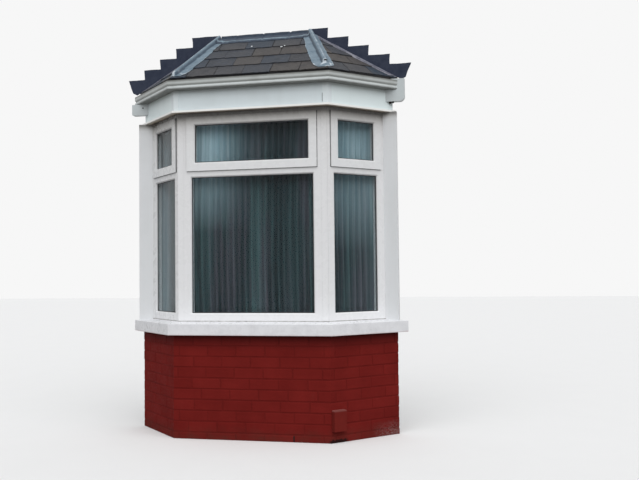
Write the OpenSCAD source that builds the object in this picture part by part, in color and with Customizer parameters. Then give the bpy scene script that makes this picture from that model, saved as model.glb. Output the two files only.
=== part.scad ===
// Canted bay window: a painted brick dwarf wall, three glazed sides with
// opening top lights, and a small hipped slate roof with lead hips.
// It is cut off at the house wall, so everything ends at that plane.
// Plan words: "out" is measured outwards from the brick face, square to it;
// negative is towards the room. Right is +X, seen from the street.

/* [Plan] */
// Width of the front brick face, corner to corner
front_w = 1130; // [900:5:1600]
// How far the front brick face stands out from the house wall
bay_depth = 410; // [360:5:560]
// Turn of each side away from the front
cant_angle = 45; // [40:1:50]

/* [Dwarf wall and sill] */
// Thickness of the brick wall under the window
wall_t = 215; // [180:5:240]
// Height of the brick face, from the ground to the sill
wall_h = 722; // [500:5:900]
// How far the sill stands out from the brick
sill_out = 53; // [35:1:70]
// Height of the sill's front edge
sill_h = 80; // [60:1:100]
// Rise of the sill's sloping top, from its edge to the frames
sill_fall = 12; // [5:1:20]
// Width of the drip groove under the sill
throat_w = 12; // [6:1:16]
// Distance of the drip groove from the sill's edge
throat_in = 14; // [10:1:18]
// Thickness of the board inside, on the wall
board_t = 22; // [18:1:30]
// How far that board stands out into the room
board_nose = 25; // [10:1:40]
// Height of the floor inside, above the ground
floor_h = 150; // [100:5:300]

/* [Windows] */
// Height of the window frames
frame_h = 1483; // [1200:1:1700]
// How far the frames are set back from the brick face
frame_set = 45; // [35:1:60]
// Depth of the frame section, outside to inside
frame_d = 60; // [55:1:70]
// Width of the frame section round an opening light
frame_w = 42; // [36:1:50]
// Lip that covers the edge of a fixed pane
glaze_lip = 16; // [12:1:20]
// Thickness of that lip
lip_t = 18; // [14:1:22]
// Height of the transom's middle above the foot of the frame
transom_at = 1059; // [700:1:1150]
// Width of the transom
transom_w = 42; // [36:1:60]
// Width of the sash section, as seen from outside
sash_w = 60; // [50:1:70]
// How far the sash stands proud of the frame
sash_proud = 12; // [8:1:16]
// How far the sash laps over the frame
sash_lap = 14; // [10:1:18]
// Shadow gap behind the sash's lap
sash_gap = 3; // [2:1:5]
// Clearance between the sash and the frame it closes into
sash_clear = 4; // [3:1:6]
// Thickness of a sealed double pane
pane_t = 24; // [18:1:28]
// Slope at the edges of frames and sashes, next to the glass
ovolo = 7; // [4:1:9]
// Gap at the joints between frames, posts and linings
joint = 0.5; // [0.3:0.1:1.5]

/* [Side linings] */
// Distance along the side from the frame's end to the house wall
jamb_reveal = 33; // [20:1:60]
// How far the lining stands out from the house wall
jamb_proud = 50; // [35:1:70]
// How far the lining's outer edge is past the brick at the house wall
jamb_past = 14; // [0:1:30]

/* [Eaves] */
// Thickness of the soffit board on top of the frames
soffit_t = 13; // [10:1:20]
// How far the soffit's edge stands out from the brick face
soffit_out = 7; // [0:1:20]
// How far the fascia is set back from the brick face
fascia_set = 12; // [5:1:20]
// Thickness of the fascia
fascia_t = 22; // [16:1:28]
// Height of the fascia
fascia_h = 222; // [200:1:222]
// Leg of the cover strip at a fascia corner
corner_leg = 35; // [20:1:50]
// Thickness of the cover strip
corner_t = 2.5; // [1.5:0.5:4]
// Height of the gutter
gutter_h = 66; // [60:1:80]
// Height of the bead along the gutter's foot
gutter_bead = 26; // [20:1:30]
// How far the gutter's front stands out from the brick face
gutter_out = 50; // [40:1:60]
// Thickness of the gutter's wall
gutter_t = 3; // [2:0.5:4]
// Height of the gutter's top above the foot of the fascia
gutter_up = 210; // [190:1:220]
// Depth of the block that closes the eaves at the house wall
block_d = 45; // [25:1:60]
// Height of the block's foot above the foot of the fascia
block_up = 60; // [40:1:90]
// Radius of the right block's lower corner
block_round = 36; // [20:1:42]
// Height of the beam over the frames
plate_h = 152; // [120:1:175]

/* [Roof] */
// Height of the slates' lower edge above the foot of the fascia
eave_up = 232; // [228:1:260]
// How far the slates reach out from the brick face
eave_out = 15; // [5:1:25]
// Rise of the roof from its eaves to its top at the house wall
roof_rise = 379; // [300:1:450]
// Half the length of the roof's top edge
hip_x = 355; // [280:5:420]
// Number of slate courses, from the eaves to the top
course_count = 5; // [4:1:7]
// Thickness of a slate course's lower edge
slate_step = 7; // [4:1:10]
// Upright thickness of slates and battens
slate_t = 30; // [24:1:40]
// Upright thickness of the roof boards
deck_t = 24; // [18:1:30]
// Upright depth of the rafters
rafter_d = 100; // [70:1:120]
// Width of a rafter
rafter_w = 44; // [35:1:60]
// Spacing of the rafters
rafter_gap = 290; // [240:5:320]

/* [Lead] */
// Thickness of the lead
lead_t = 3; // [2:0.5:4]
// Radius of the roll under the lead on a hip
roll_r = 20; // [15:1:28]
// Width of the lead on each side of a hip
wing_w = 70; // [50:1:100]
// Width of the apron on the slates, in plan
apron_w = 62; // [40:1:90]
// Width of the turned edge of the stepped lead, in plan
rake_w = 20; // [12:1:30]
// Height of one brick course of the house wall
brick_course = 75; // [65:1:80]
// Number of steps in the lead beside each slope
step_count = 5; // [3:1:5]
// Distance from the middle to the first step's tip, left side
left_first = 572; // [450:1:600]
// Distance from each tip to the next, left side
left_run = 131; // [110:1:160]
// Distance from the middle to the first step's tip, right side
right_first = 488; // [450:1:600]
// Distance from each tip to the next, right side
right_run = 152; // [110:1:160]
// Height of the first step above the top of the roof
step_up = 31; // [15:1:50]

/* [Room side] */
// Distance from the frames to the net curtains
net_back = 30; // [20:1:60]
// Thickness of a gathered net curtain
net_t = 30; // [20:1:40]
// Height of the curtain track
track_h = 28; // [20:1:35]
// Distance from the board up to the hem of the nets
net_up = 12; // [5:1:40]

/* [Wall box] */
// Width of the small box on the right side's brickwork
box_w = 98; // [60:1:120]
// Height of the box
box_h = 143; // [90:1:180]
// How far the box stands out
box_d = 34; // [20:1:50]
// Height of its foot above the ground
box_up = 79; // [40:1:200]

/* [Hidden] */

// Heights of the main levels
nose_z = wall_h + sill_h;
frame_z = nose_z + sill_fall;
soffit_z = frame_z + frame_h;
eaves_z = soffit_z + soffit_t;
gutter_z = eaves_z + gutter_up - gutter_h;
slate_z = eaves_z + eave_up;
ridge_z = slate_z + roof_rise;
// The inside face of the frames, and the back edge of the sill, which lies under them
frame_in = frame_set + frame_d;
sill_in = frame_in + 5;
// Solids used only for cutting reach this far past what they cut
spare = 50;
// Half the length and the height of a cutting solid that holds the whole bay
reach = front_w + 3 * bay_depth;
top_reach = ridge_z + 4 * spare;
// The origin is under the middle of the whole plan, so the house wall is this far back
wall_y = (bay_depth + max(sill_out, gutter_out)) / 2;

// Half the front's length, the front's place and half the width at the house wall,
// for a line that follows the brick face at a distance out from it
function front_half(out) = front_w / 2 + out * tan(cant_angle / 2);
function front_y(out) = -(bay_depth + out);
function wall_half(out) = front_half(out) + (bay_depth + out) / tan(cant_angle);
function corner(out) = [front_half(out), front_y(out)];
function at_wall(out) = [wall_half(out), 0];
function flip(p) = [-p[0], p[1]];
// A point on the right side: s along it from the brick corner, d in from its face
function cant_point(s, d) = [
    front_half(0) + s * cos(cant_angle) - d * sin(cant_angle),
    -bay_depth + s * sin(cant_angle) + d * cos(cant_angle)
];

// The window on the right side starts where its face meets the front's face
cant_start = frame_set * tan(cant_angle / 2) + joint;
cant_face = (bay_depth - frame_set) / sin(cant_angle);
cant_window_w = cant_face - jamb_reveal - joint;
// The front window leaves room for the ends of the side frames behind the corner posts
post_w = frame_d * sin(cant_angle) + joint;
front_window_w = 2 * (front_half(-frame_set) - post_w - joint);

// Puts what is drawn from the middle of the house wall's line in its place
module on_wall() translate([0, wall_y, 0]) children();

// Puts what is drawn along a straight run in its place on a side of the bay:
// x along the run, y in from the brick face. side is -1 left, 0 front, 1 right.
module on_side(side) {
    if (side == 0) translate([0, -bay_depth, 0]) children();
    if (side == 1) translate([front_half(0), -bay_depth, 0]) rotate([0, 0, cant_angle]) children();
    if (side == -1) mirror([1, 0, 0]) on_side(1) children();
}

// The plan of one run between two lines that follow the brick face, mitred at the corners
function front_plan(out, inn) = [flip(corner(out)), corner(out), corner(inn), flip(corner(inn))];
function cant_plan(out, inn) = [corner(out), at_wall(out), at_wall(inn), corner(inn)];
module run_plan(side, out, inn) {
    if (side == 0) polygon(front_plan(out, inn));
    if (side == 1) polygon(cant_plan(out, inn));
    if (side == -1) mirror([1, 0, 0]) polygon(cant_plan(out, inn));
}

// A flat-topped band round all three sides
module band(out, inn, z, h) {
    translate([0, 0, z]) linear_extrude(h) polygon([
        flip(at_wall(out)), flip(corner(out)), corner(out), at_wall(out),
        at_wall(inn), corner(inn), flip(corner(inn)), flip(at_wall(inn))
    ]);
}

// A flat plate that fills the plan inside a line
module plate(out, z, h) {
    translate([0, 0, z]) linear_extrude(h)
        polygon([flip(at_wall(out)), flip(corner(out)), corner(out), at_wall(out)]);
}

// A long straight bar along one side: its profile is a list of [in, z]
module prism(side, profile) {
    on_side(side) rotate([90, 0, 90]) translate([0, 0, -reach]) linear_extrude(2 * reach)
        polygon(profile);
}
// The same from a profile of [out, z]
module prism_out(side, profile) prism(side, [for (p = profile) [-p[0], p[1]]]);

// A moulding along one side, mitred at the corners
module moulding(side, profile, out, inn) {
    intersection() {
        prism_out(side, profile);
        linear_extrude(top_reach) run_plan(side, out + spare, inn - spare);
    }
}

// Dwarf wall, with a step in its top for the sill
module dwarf_wall() {
    color([0.36, 0.11, 0.10]) on_wall() union() {
        band(0, -wall_t, 0, wall_h);
        band(-sill_in, -wall_t, wall_h - 1, frame_z - board_t - wall_h + 1);
    }
}

// Sill: a sloping top, an upright edge and a drip groove, mitred at the corners
sill_profile = [
    [sill_out, wall_h], [sill_out, nose_z], [-frame_set, frame_z], [-sill_in, frame_z],
    [-sill_in, wall_h], [sill_out - throat_in - throat_w, wall_h],
    [sill_out - throat_in - throat_w, wall_h + throat_w / 2],
    [sill_out - throat_in, wall_h + throat_w / 2], [sill_out - throat_in, wall_h]
];
module sill_body() {
    for (side = [-1, 0, 1]) moulding(side, sill_profile, sill_out, -sill_in);
}
module sill() color([0.86, 0.87, 0.87]) on_wall() sill_body();

// Board on the wall inside, with a nosing into the room
module window_board() {
    color([0.90, 0.90, 0.89]) on_wall()
        band(-sill_in, -wall_t - board_nose, frame_z - board_t, board_t);
}

// Floor inside the dwarf wall
module floor() {
    color([0.55, 0.50, 0.44]) on_wall() plate(-wall_t, 0, floor_h);
}

// A rectangular shape in a window, from depth d and t thick, between x0, x1, z0 and z1
module block(x0, x1, z0, z1, d, t) translate([x0, d, z0]) cube([x1 - x0, t, z1 - z0]);

// A cutter for the sloping edge round an opening, in a face at depth d
module splay(x0, x1, z0, z1, d) {
    intersection() {
        translate([0, 0, z0 - 2 * ovolo]) linear_extrude(z1 - z0 + 4 * ovolo) polygon([
            [x0, d + ovolo], [x0 - 2 * ovolo, d - ovolo],
            [x1 + 2 * ovolo, d - ovolo], [x1, d + ovolo]
        ]);
        translate([x0 - 2 * ovolo, 0, 0]) rotate([90, 0, 90])
            linear_extrude(x1 - x0 + 4 * ovolo) polygon([
                [d + ovolo, z0], [d - ovolo, z0 - 2 * ovolo],
                [d - ovolo, z1 + 2 * ovolo], [d + ovolo, z1]
            ]);
    }
}

// Levels of the two lights. The low light is fixed; the top light has a sash.
low_z0 = frame_z + frame_w;
low_z1 = frame_z + transom_at - transom_w / 2;
top_z0 = frame_z + transom_at + transom_w / 2;
top_z1 = soffit_z - frame_w;
// Distances in from the frame's edge: fixed glass, sash edge, sash body, sash glass
fixed_in = frame_w + glaze_lip;
leaf_in = frame_w - sash_lap;
body_in = frame_w + sash_clear;
sash_glass_in = leaf_in + sash_w;
// The same distances up and down, from the top light's opening
leaf_z = sash_lap;
glass_z = sash_w - sash_lap;
// Depths of the sash, and of the two rebates that the panes stand in
sash_d = frame_set - sash_proud;
sash_deep = frame_d - 2;
fixed_pane_d = frame_set + lip_t;
sash_pane_d = sash_d + lip_t;
pane_edge = 2;

// Outer frame of one window: w wide, with a transom, drawn from its left edge
module frame_body(w) {
    difference() {
        block(0, w, frame_z, soffit_z, frame_set, frame_d);
        block(fixed_in, w - fixed_in, low_z0 + glaze_lip, low_z1 - glaze_lip, 0, frame_in + spare);
        block(frame_w, w - frame_w, low_z0, low_z1, fixed_pane_d, frame_d);
        splay(fixed_in, w - fixed_in, low_z0 + glaze_lip, low_z1 - glaze_lip, frame_set);
        block(frame_w, w - frame_w, top_z0, top_z1, 0, frame_in + spare);
    }
}

// Top light's sash: a leaf that laps over the frame, a body that closes into it,
// and a seal between the two that leaves a shadow gap
module sash_body(w) {
    difference() {
        union() {
            block(leaf_in, w - leaf_in, top_z0 - leaf_z, top_z1 + leaf_z,
                sash_d, sash_proud - sash_gap);
            block(body_in, w - body_in, top_z0 + sash_clear, top_z1 - sash_clear,
                sash_d, sash_deep);
            seal_in = leaf_in + sash_lap / 3;
            seal_z = sash_lap * 2 / 3;
            block(seal_in, w - seal_in, top_z0 - seal_z, top_z1 + seal_z, sash_d + 1, sash_proud - 1);
        }
        // The seal is a ring, so the sash body stands clear inside the frame's opening
        difference() {
            block(frame_w - 2, w - frame_w + 2, top_z0 - 2, top_z1 + 2,
                frame_set - sash_gap, sash_gap + spare);
            block(body_in, w - body_in, top_z0 + sash_clear, top_z1 - sash_clear,
                0, frame_in + spare);
        }
        block(sash_glass_in, w - sash_glass_in, top_z0 + glass_z, top_z1 - glass_z,
            0, frame_in + spare);
        block(sash_glass_in - glaze_lip, w - sash_glass_in + glaze_lip,
            top_z0 + glass_z - glaze_lip, top_z1 - glass_z + glaze_lip,
            sash_pane_d, frame_in + spare);
        splay(sash_glass_in, w - sash_glass_in, top_z0 + glass_z, top_z1 - glass_z, sash_d);
    }
}

// The two sealed panes of one window
module panes(w) {
    m = frame_w + pane_edge;
    block(m, w - m, low_z0 + pane_edge, low_z1 - pane_edge, fixed_pane_d, pane_t);
    k = sash_glass_in - glaze_lip + pane_edge;
    e = glass_z - glaze_lip + pane_edge;
    block(k, w - k, top_z0 + e, top_z1 - e, sash_pane_d, pane_t);
}

// One glazing bead: a ring that holds a pane from inside
module bead_ring(x0, x1, z0, z1, d, t) {
    difference() {
        block(x0, x1, z0, z1, d, t);
        block(x0 + glaze_lip, x1 - glaze_lip, z0 + glaze_lip, z1 - glaze_lip, d - 1, t + 2);
    }
}
module beads(w) {
    low_t = frame_in - fixed_pane_d - pane_t;
    bead_ring(frame_w, w - frame_w, low_z0, low_z1, fixed_pane_d + pane_t, low_t);
    k = sash_glass_in - glaze_lip;
    e = glass_z - glaze_lip;
    top_t = sash_d + sash_deep - sash_pane_d - pane_t;
    bead_ring(k, w - k, top_z0 + e, top_z1 - e, sash_pane_d + pane_t, top_t);
}

// Puts a window's piece in one side of the bay
module in_front() on_side(0) translate([-front_window_w / 2, 0, 0]) children();
module in_cant(side) on_side(side) translate([cant_start, 0, 0]) children();

// Keeps only what stands in front of the house wall
module before_wall() {
    intersection() {
        children();
        translate([-reach, -reach, -spare]) cube([2 * reach, reach, top_reach]);
    }
}

module frame_left() color([0.87, 0.88, 0.88]) on_wall()
    before_wall() in_cant(-1) frame_body(cant_window_w);
module frame_front() color([0.87, 0.88, 0.88]) on_wall() in_front() frame_body(front_window_w);
module frame_right() color([0.87, 0.88, 0.88]) on_wall()
    before_wall() in_cant(1) frame_body(cant_window_w);

module top_sash_left() color([0.90, 0.91, 0.91]) on_wall() in_cant(-1) sash_body(cant_window_w);
module top_sash_front() color([0.90, 0.91, 0.91]) on_wall() in_front() sash_body(front_window_w);
module top_sash_right() color([0.90, 0.91, 0.91]) on_wall() in_cant(1) sash_body(cant_window_w);

module glass_left() color([0.35, 0.42, 0.44, 0.4]) on_wall() in_cant(-1) panes(cant_window_w);
module glass_front() color([0.35, 0.42, 0.44, 0.4]) on_wall() in_front() panes(front_window_w);
module glass_right() color([0.35, 0.42, 0.44, 0.4]) on_wall() in_cant(1) panes(cant_window_w);

module glazing_beads() {
    color([0.88, 0.89, 0.89]) on_wall() {
        in_front() beads(front_window_w);
        for (side = [-1, 1]) in_cant(side) beads(cant_window_w);
    }
}

// Corner post between the front window and a side window: a wedge as deep as both
module corner_post() {
    edge = front_half(-frame_set) - post_w;
    top = front_y(-frame_set);
    translate([0, 0, frame_z]) linear_extrude(frame_h) polygon([
        [edge, top], [edge + post_w - joint, top],
        [edge, top + (post_w - joint) / tan(cant_angle)]
    ]);
}
module corner_post_left() color([0.86, 0.87, 0.87]) on_wall() mirror([1, 0, 0]) corner_post();
module corner_post_right() color([0.86, 0.87, 0.87]) on_wall() corner_post();

// Lining that covers the wall's edge beside a side window. It stands on the sill.
module jamb() {
    s_end = cant_start + cant_window_w + joint;
    edge = wall_half(0) + jamb_past;
    difference() {
        translate([0, 0, nose_z]) linear_extrude(soffit_z - nose_z) polygon([
            [edge, 0], [edge, -jamb_proud], cant_point(s_end, frame_set),
            cant_point(s_end, (bay_depth - s_end * sin(cant_angle)) / cos(cant_angle))
        ]);
        sill_body();
    }
}
module jamb_left() color([0.85, 0.86, 0.87]) on_wall() mirror([1, 0, 0]) jamb();
module jamb_right() color([0.85, 0.86, 0.87]) on_wall() jamb();

// Soffit board over the frames: its edge is the bright lip under the fascia
module soffit_board() {
    color([0.90, 0.91, 0.90]) on_wall() band(soffit_out, -frame_in, soffit_z, soffit_t);
}

// Fascia boards, mitred at the corners
module fascia(side) {
    translate([0, 0, eaves_z]) linear_extrude(fascia_h)
        run_plan(side, -fascia_set, -fascia_set - fascia_t);
}
module fascia_left() color([0.84, 0.86, 0.86]) on_wall() fascia(-1);
module fascia_front() color([0.84, 0.86, 0.86]) on_wall() fascia(0);
module fascia_right() color([0.84, 0.86, 0.86]) on_wall() fascia(1);

// Cover strips folded round the fascia corners, from the soffit up to the gutter
module corner_strip() {
    near = corner(-fascia_set);
    far = corner(-fascia_set + corner_t);
    along = [cos(cant_angle), sin(cant_angle)] * corner_leg;
    translate([0, 0, eaves_z]) linear_extrude(gutter_z - eaves_z) polygon([
        near - [corner_leg, 0], far - [corner_leg, 0], far, far + along, near + along, near
    ]);
}
module fascia_corners() {
    color([0.88, 0.90, 0.90]) on_wall() {
        corner_strip();
        mirror([1, 0, 0]) corner_strip();
    }
}

// Gutter: an ogee channel with an upright front over a round bead, and a waist between them
function arc(x, z, r, a0, a1) = [
    for (i = [0:8]) [x + r * cos(a0 + (a1 - a0) * i / 8), z + r * sin(a0 + (a1 - a0) * i / 8)]
];
gutter_top = gutter_z + gutter_h;
bead_r = gutter_bead / 2;
waist_z = gutter_z + gutter_bead + gutter_t;
waist_in = gutter_t * 2;
function gutter_shell(t) = concat(
    [[-fascia_set + t, gutter_top + t], [-fascia_set + t, gutter_z + t]],
    arc(gutter_out - bead_r, gutter_z + bead_r, bead_r - t, -90, 60),
    [
        [gutter_out - waist_in - t, waist_z], [gutter_out - t, waist_z + 1.5 * waist_in],
        [gutter_out - t, gutter_top + t]
    ]
);
// All that lies in front of the house wall by at least d
module before(d) translate([-reach, -reach - d, 0]) cube([2 * reach, reach, top_reach]);
module gutter(side) {
    difference() {
        intersection() {
            moulding(side, gutter_shell(0), gutter_out, -fascia_set);
            // The right length ends at its block. The left one runs over its block to the wall.
            before(side < 0 ? 0 : block_d);
        }
        intersection() {
            prism_out(side, gutter_shell(gutter_t));
            before(gutter_t);
        }
    }
}
module gutter_left() color([0.72, 0.75, 0.74]) on_wall() gutter(-1);
module gutter_front() color([0.72, 0.75, 0.74]) on_wall() gutter(0);
module gutter_right() color([0.72, 0.75, 0.74]) on_wall() gutter(1);

// Block at the house wall that closes the end of the fascia, up to a height of head
module eaves_block(head, r) {
    edge = wall_half(gutter_out) + gutter_t;
    inner = wall_half(-fascia_set) - 2 * block_d;
    foot = eaves_z + block_up;
    h = head - foot;
    difference() {
        rotate([90, 0, 0]) linear_extrude(block_d) union() {
            translate([inner, foot]) square([edge - inner - r, h]);
            translate([inner, foot + r]) square([edge - inner, h - r]);
            translate([edge - r, foot + r]) circle(r, $fn = 48);
        }
        plate(-fascia_set, foot - spare, h + 2 * spare);
        // Room for the slates' lower corner
        plate(eave_out + joint, slate_z - slate_t - joint, spare);
    }
}
// The right block stands up beside the gutter's end, and the left one is under the gutter
module eaves_block_left() color([0.83, 0.86, 0.85]) on_wall() mirror([1, 0, 0])
    eaves_block(gutter_z - joint, block_round / 4);
module eaves_block_right() color([0.83, 0.86, 0.85]) on_wall()
    eaves_block(slate_z - gutter_t * 3, block_round);

// Beam over the frames, which carries the rafters
beam_out = -fascia_set - fascia_t;
module head_plate() {
    color([0.72, 0.58, 0.40]) on_wall() band(beam_out, -sill_in, eaves_z, plate_h);
}

// Ceiling board inside
module ceiling() {
    color([0.92, 0.92, 0.91]) on_wall() plate(-frame_in - joint, soffit_z, soffit_t);
}

// The roof's form: slopes of the front and of the sides, raised by lift, down to its base.
// A cutter has grow above zero, which makes it reach past the eaves and the house wall.
front_run = bay_depth + eave_out;
cant_run = (front_half(eave_out) - hip_x) * sin(cant_angle) + front_run * cos(cant_angle);
front_fall = roof_rise / front_run;
cant_fall = roof_rise / cant_run;
roof_base = eaves_z;
// How far a hip moves outwards in plan for each step towards the street
hip_lean = (front_half(eave_out) - hip_x) / front_run;
function slope_profile(fall, length, lift, grow) = [
    [-eave_out - grow, roof_base - grow], [-eave_out - grow, slate_z + lift - grow * fall],
    [length, slate_z + lift + (length + eave_out) * fall], [length, roof_base - grow]
];
module roof_form(lift, grow) {
    intersection() {
        prism(0, slope_profile(front_fall, bay_depth + grow, lift, grow));
        prism(-1, slope_profile(cant_fall, reach, lift, grow));
        prism(1, slope_profile(cant_fall, reach, lift, grow));
    }
}
// A layer of the roof, between two lifts
module roof_layer(upper, lower) {
    difference() {
        roof_form(upper, 0);
        roof_form(lower, spare);
    }
}
// A sheet that lies over one slope, from lift up to lift + t
module slope_sheet(side, lift, t) {
    fall = side == 0 ? front_fall : cant_fall;
    top = slate_z + lift + (reach + eave_out) * fall;
    prism(side, [
        [-eave_out, slate_z + lift], [-eave_out, slate_z + lift + t],
        [reach, top + t], [reach, top]
    ]);
}
// The plan of each slope
module slope_plan(side) {
    top = [hip_x, 0];
    if (side == 0) polygon([flip(corner(eave_out)), corner(eave_out), top, flip(top)]);
    if (side == 1) polygon([corner(eave_out), at_wall(eave_out), top]);
    if (side == -1) mirror([1, 0, 0]) polygon([corner(eave_out), at_wall(eave_out), top]);
}
module on_slope(side) {
    intersection() {
        children();
        linear_extrude(top_reach) slope_plan(side);
    }
}

// Rafters: along the front, square to the sides, under both hips, and a bearer on the house wall
module rafter_at(side, x) {
    on_side(side) translate([x - rafter_w / 2, -eave_out, 0]) cube([rafter_w, reach, top_reach]);
}
// A strip along the right hip, w to each side, from behind the house wall to the eaves
module hip_line(w, length) {
    foot = corner(eave_out);
    turn = atan2(foot[0] - hip_x, -foot[1]);
    translate([hip_x, 0, 0]) rotate([0, 0, turn]) translate([-w, -length, 0])
        cube([2 * w, length + spare, top_reach]);
}
module rafter_plates() {
    for (x = [0:rafter_gap:hip_x]) for (turn = [-1, 1]) on_slope(0) rafter_at(0, x * turn);
    side_run = (bay_depth + eave_out) / sin(cant_angle);
    for (side = [-1, 1]) {
        for (k = [1, 2]) on_slope(side) rafter_at(side, k * side_run / 3);
        mirror([side < 0 ? 1 : 0, 0, 0]) hip_line(rafter_w / 2, 2 * front_run);
    }
}
// The bearer is as long as the front's rafters are apart. They end a gap in front of it.
module bearer(gap) {
    half = floor(hip_x / rafter_gap) * rafter_gap + rafter_w / 2 + gap;
    translate([-half, -rafter_w - gap, ridge_z - slate_t - 2 * deck_t - 2 * rafter_d])
        cube([2 * half, rafter_w + gap, 3 * rafter_d]);
}
module rafters() {
    color([0.74, 0.60, 0.42]) on_wall() difference() {
        union() {
            difference() {
                intersection() {
                    rafter_plates();
                    roof_layer(-slate_t - deck_t, -slate_t - deck_t - rafter_d);
                }
                bearer(joint);
            }
            intersection() {
                bearer(0);
                roof_form(-slate_t - deck_t, 0);
            }
        }
        band(eave_out + spare, beam_out, 0, top_reach);
        band(beam_out, -sill_in, 0, eaves_z + plate_h);
    }
}

// Roof boards, inside the fascia, with a joint along each hip
module roof_boards() {
    color([0.70, 0.56, 0.38]) on_wall() difference() {
        intersection() {
            roof_layer(-slate_t, -slate_t - deck_t);
            plate(beam_out, 0, top_reach);
        }
        for (turn = [0, 1]) mirror([turn, 0, 0]) hip_line(joint / 2, 2 * front_run);
    }
}

// Slates: each course is a step in the slope. The courses are level all round.
course_rise = roof_rise / (course_count - 0.5);
function courses(fall) = concat(
    [[-eave_out, slate_z - slate_t]],
    [for (k = [0:course_count - 1], end = [0, 1])
        let (rise = min((k + end) * course_rise, roof_rise))
        [-eave_out + rise / fall, slate_z + rise + (end == 0 ? slate_step : 0)]],
    [[-eave_out + roof_rise / fall, slate_z - slate_t]]
);
module slates(side) {
    fall = side == 0 ? front_fall : cant_fall;
    on_slope(side) difference() {
        prism(side, courses(fall));
        roof_form(-slate_t, spare);
    }
}
module slates_left() color([0.33, 0.33, 0.35]) on_wall() slates(-1);
module slates_front() color([0.33, 0.33, 0.35]) on_wall() slates(0);
module slates_right() color([0.33, 0.33, 0.35]) on_wall() slates(1);

// Lead on a hip: two wings dressed on the slates, and a roll along the hip itself
lead_z = slate_step;
module hip_lead() {
    hip_plan = norm([front_half(eave_out) - hip_x, front_run]);
    tilt = atan(roof_rise / hip_plan);
    foot = corner(eave_out);
    turn = atan2(foot[0] - hip_x, front_run);
    union() {
        intersection() {
            hip_line(wing_w, hip_plan);
            roof_layer(lead_z + lead_t, lead_z);
        }
        difference() {
            intersection() {
                translate([hip_x, 0, ridge_z + lead_z]) rotate([0, 0, turn]) rotate([90 + tilt, 0, 0])
                    cylinder(h = norm([hip_plan, roof_rise]), r = roll_r, $fn = 48);
                // The roll stops at the apron, and at the slates' edge
                translate([0, -front_run, 0]) cube([reach, front_run - apron_w, top_reach]);
            }
            roof_form(lead_z, spare);
        }
    }
}
module hip_lead_left() color([0.55, 0.60, 0.64]) on_wall() mirror([1, 0, 0]) hip_lead();
module hip_lead_right() color([0.55, 0.60, 0.64]) on_wall() hip_lead();

// Apron along the top: an upstand on the house wall and a flap over slates and hips
module apron_flashing() {
    color([0.36, 0.42, 0.50]) on_wall() union() {
        translate([-hip_x, -lead_t, ridge_z + lead_z + lead_t])
            cube([2 * hip_x, lead_t, step_up - lead_z - lead_t]);
        intersection() {
            slope_sheet(0, lead_z + lead_t, lead_t);
            linear_extrude(top_reach) polygon([
                [-hip_x, 0], [-hip_x - apron_w * hip_lean, -apron_w],
                [hip_x + apron_w * hip_lean, -apron_w], [hip_x, 0]
            ]);
        }
    }
}

// Stepped lead beside a slope: one step to each brick course of the house wall,
// with its foot along the slates and an edge turned out over them
module stepped_flashing(first, run) {
    lift = lead_z + lead_t;
    end_x = wall_half(eave_out) + 2 * eave_out;
    top = ridge_z + step_up;
    last = step_count - 1;
    union() {
        rotate([90, 0, 0]) linear_extrude(lead_t) polygon(concat(
            [[hip_x, ridge_z + lift], [hip_x, top]],
            [for (k = [0:last - 1], low = [0, 1])
                [first + k * run - low * lead_t, top - (k + low) * brick_course]],
            [[first + last * run, top - last * brick_course]],
            [[end_x + 2 * eave_out, slate_z + lift], [end_x, slate_z - 2 * lead_t]],
            [[wall_half(eave_out), slate_z + lift]]
        ));
        intersection() {
            slope_sheet(1, lift, lead_t);
            linear_extrude(top_reach) polygon([
                [hip_x, 0], [hip_x + rake_w * hip_lean, -rake_w],
                [wall_half(eave_out) - rake_w / tan(cant_angle), -rake_w], [wall_half(eave_out), 0]
            ]);
        }
    }
}
module stepped_flashing_left() color([0.16, 0.20, 0.28]) on_wall()
    mirror([1, 0, 0]) stepped_flashing(left_first, left_run);
module stepped_flashing_right() color([0.16, 0.20, 0.28]) on_wall()
    stepped_flashing(right_first, right_run);

// Curtain track under the ceiling, bent round the bay
net_d = frame_in + net_back;
module curtain_track() {
    color([0.93, 0.93, 0.92]) on_wall()
        band(-net_d - net_t / 6, -net_d - net_t * 5 / 6, soffit_z - track_h, track_h);
}

// Gathered net curtains, one to each window, hung just under the track
hang_gap = 0.3;
module net(x0, x1) {
    foot = frame_z + net_up;
    translate([x0, net_d, foot]) cube([x1 - x0, net_t, soffit_z - track_h - hang_gap - foot]);
}
net_half = front_half(-net_d - net_t) - net_t / 2;
net_start = (net_d + net_t) * tan(cant_angle / 2) + net_t / 2;
net_end = (bay_depth - (net_d + net_t) * cos(cant_angle)) / sin(cant_angle) - net_t / 3;
module net_left() color([0.93, 0.93, 0.91]) on_wall() on_side(-1) net(net_start, net_end);
module net_front() color([0.93, 0.93, 0.91]) on_wall() on_side(0) net(-net_half, net_half);
module net_right() color([0.93, 0.93, 0.91]) on_wall() on_side(1) net(net_start, net_end);

// Small box on the brickwork of the right side, painted with the wall
module wall_box() {
    r = box_d / 4;
    color([0.42, 0.13, 0.12]) on_wall() on_side(1) translate([r / 2, 0, box_up])
        rotate([90, 0, 0]) linear_extrude(box_d) union() {
            square([box_w, box_h - r]);
            translate([r, 0]) square([box_w - 2 * r, box_h]);
            for (x = [r, box_w - r]) translate([x, box_h - r]) circle(r, $fn = 32);
        }
}

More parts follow.
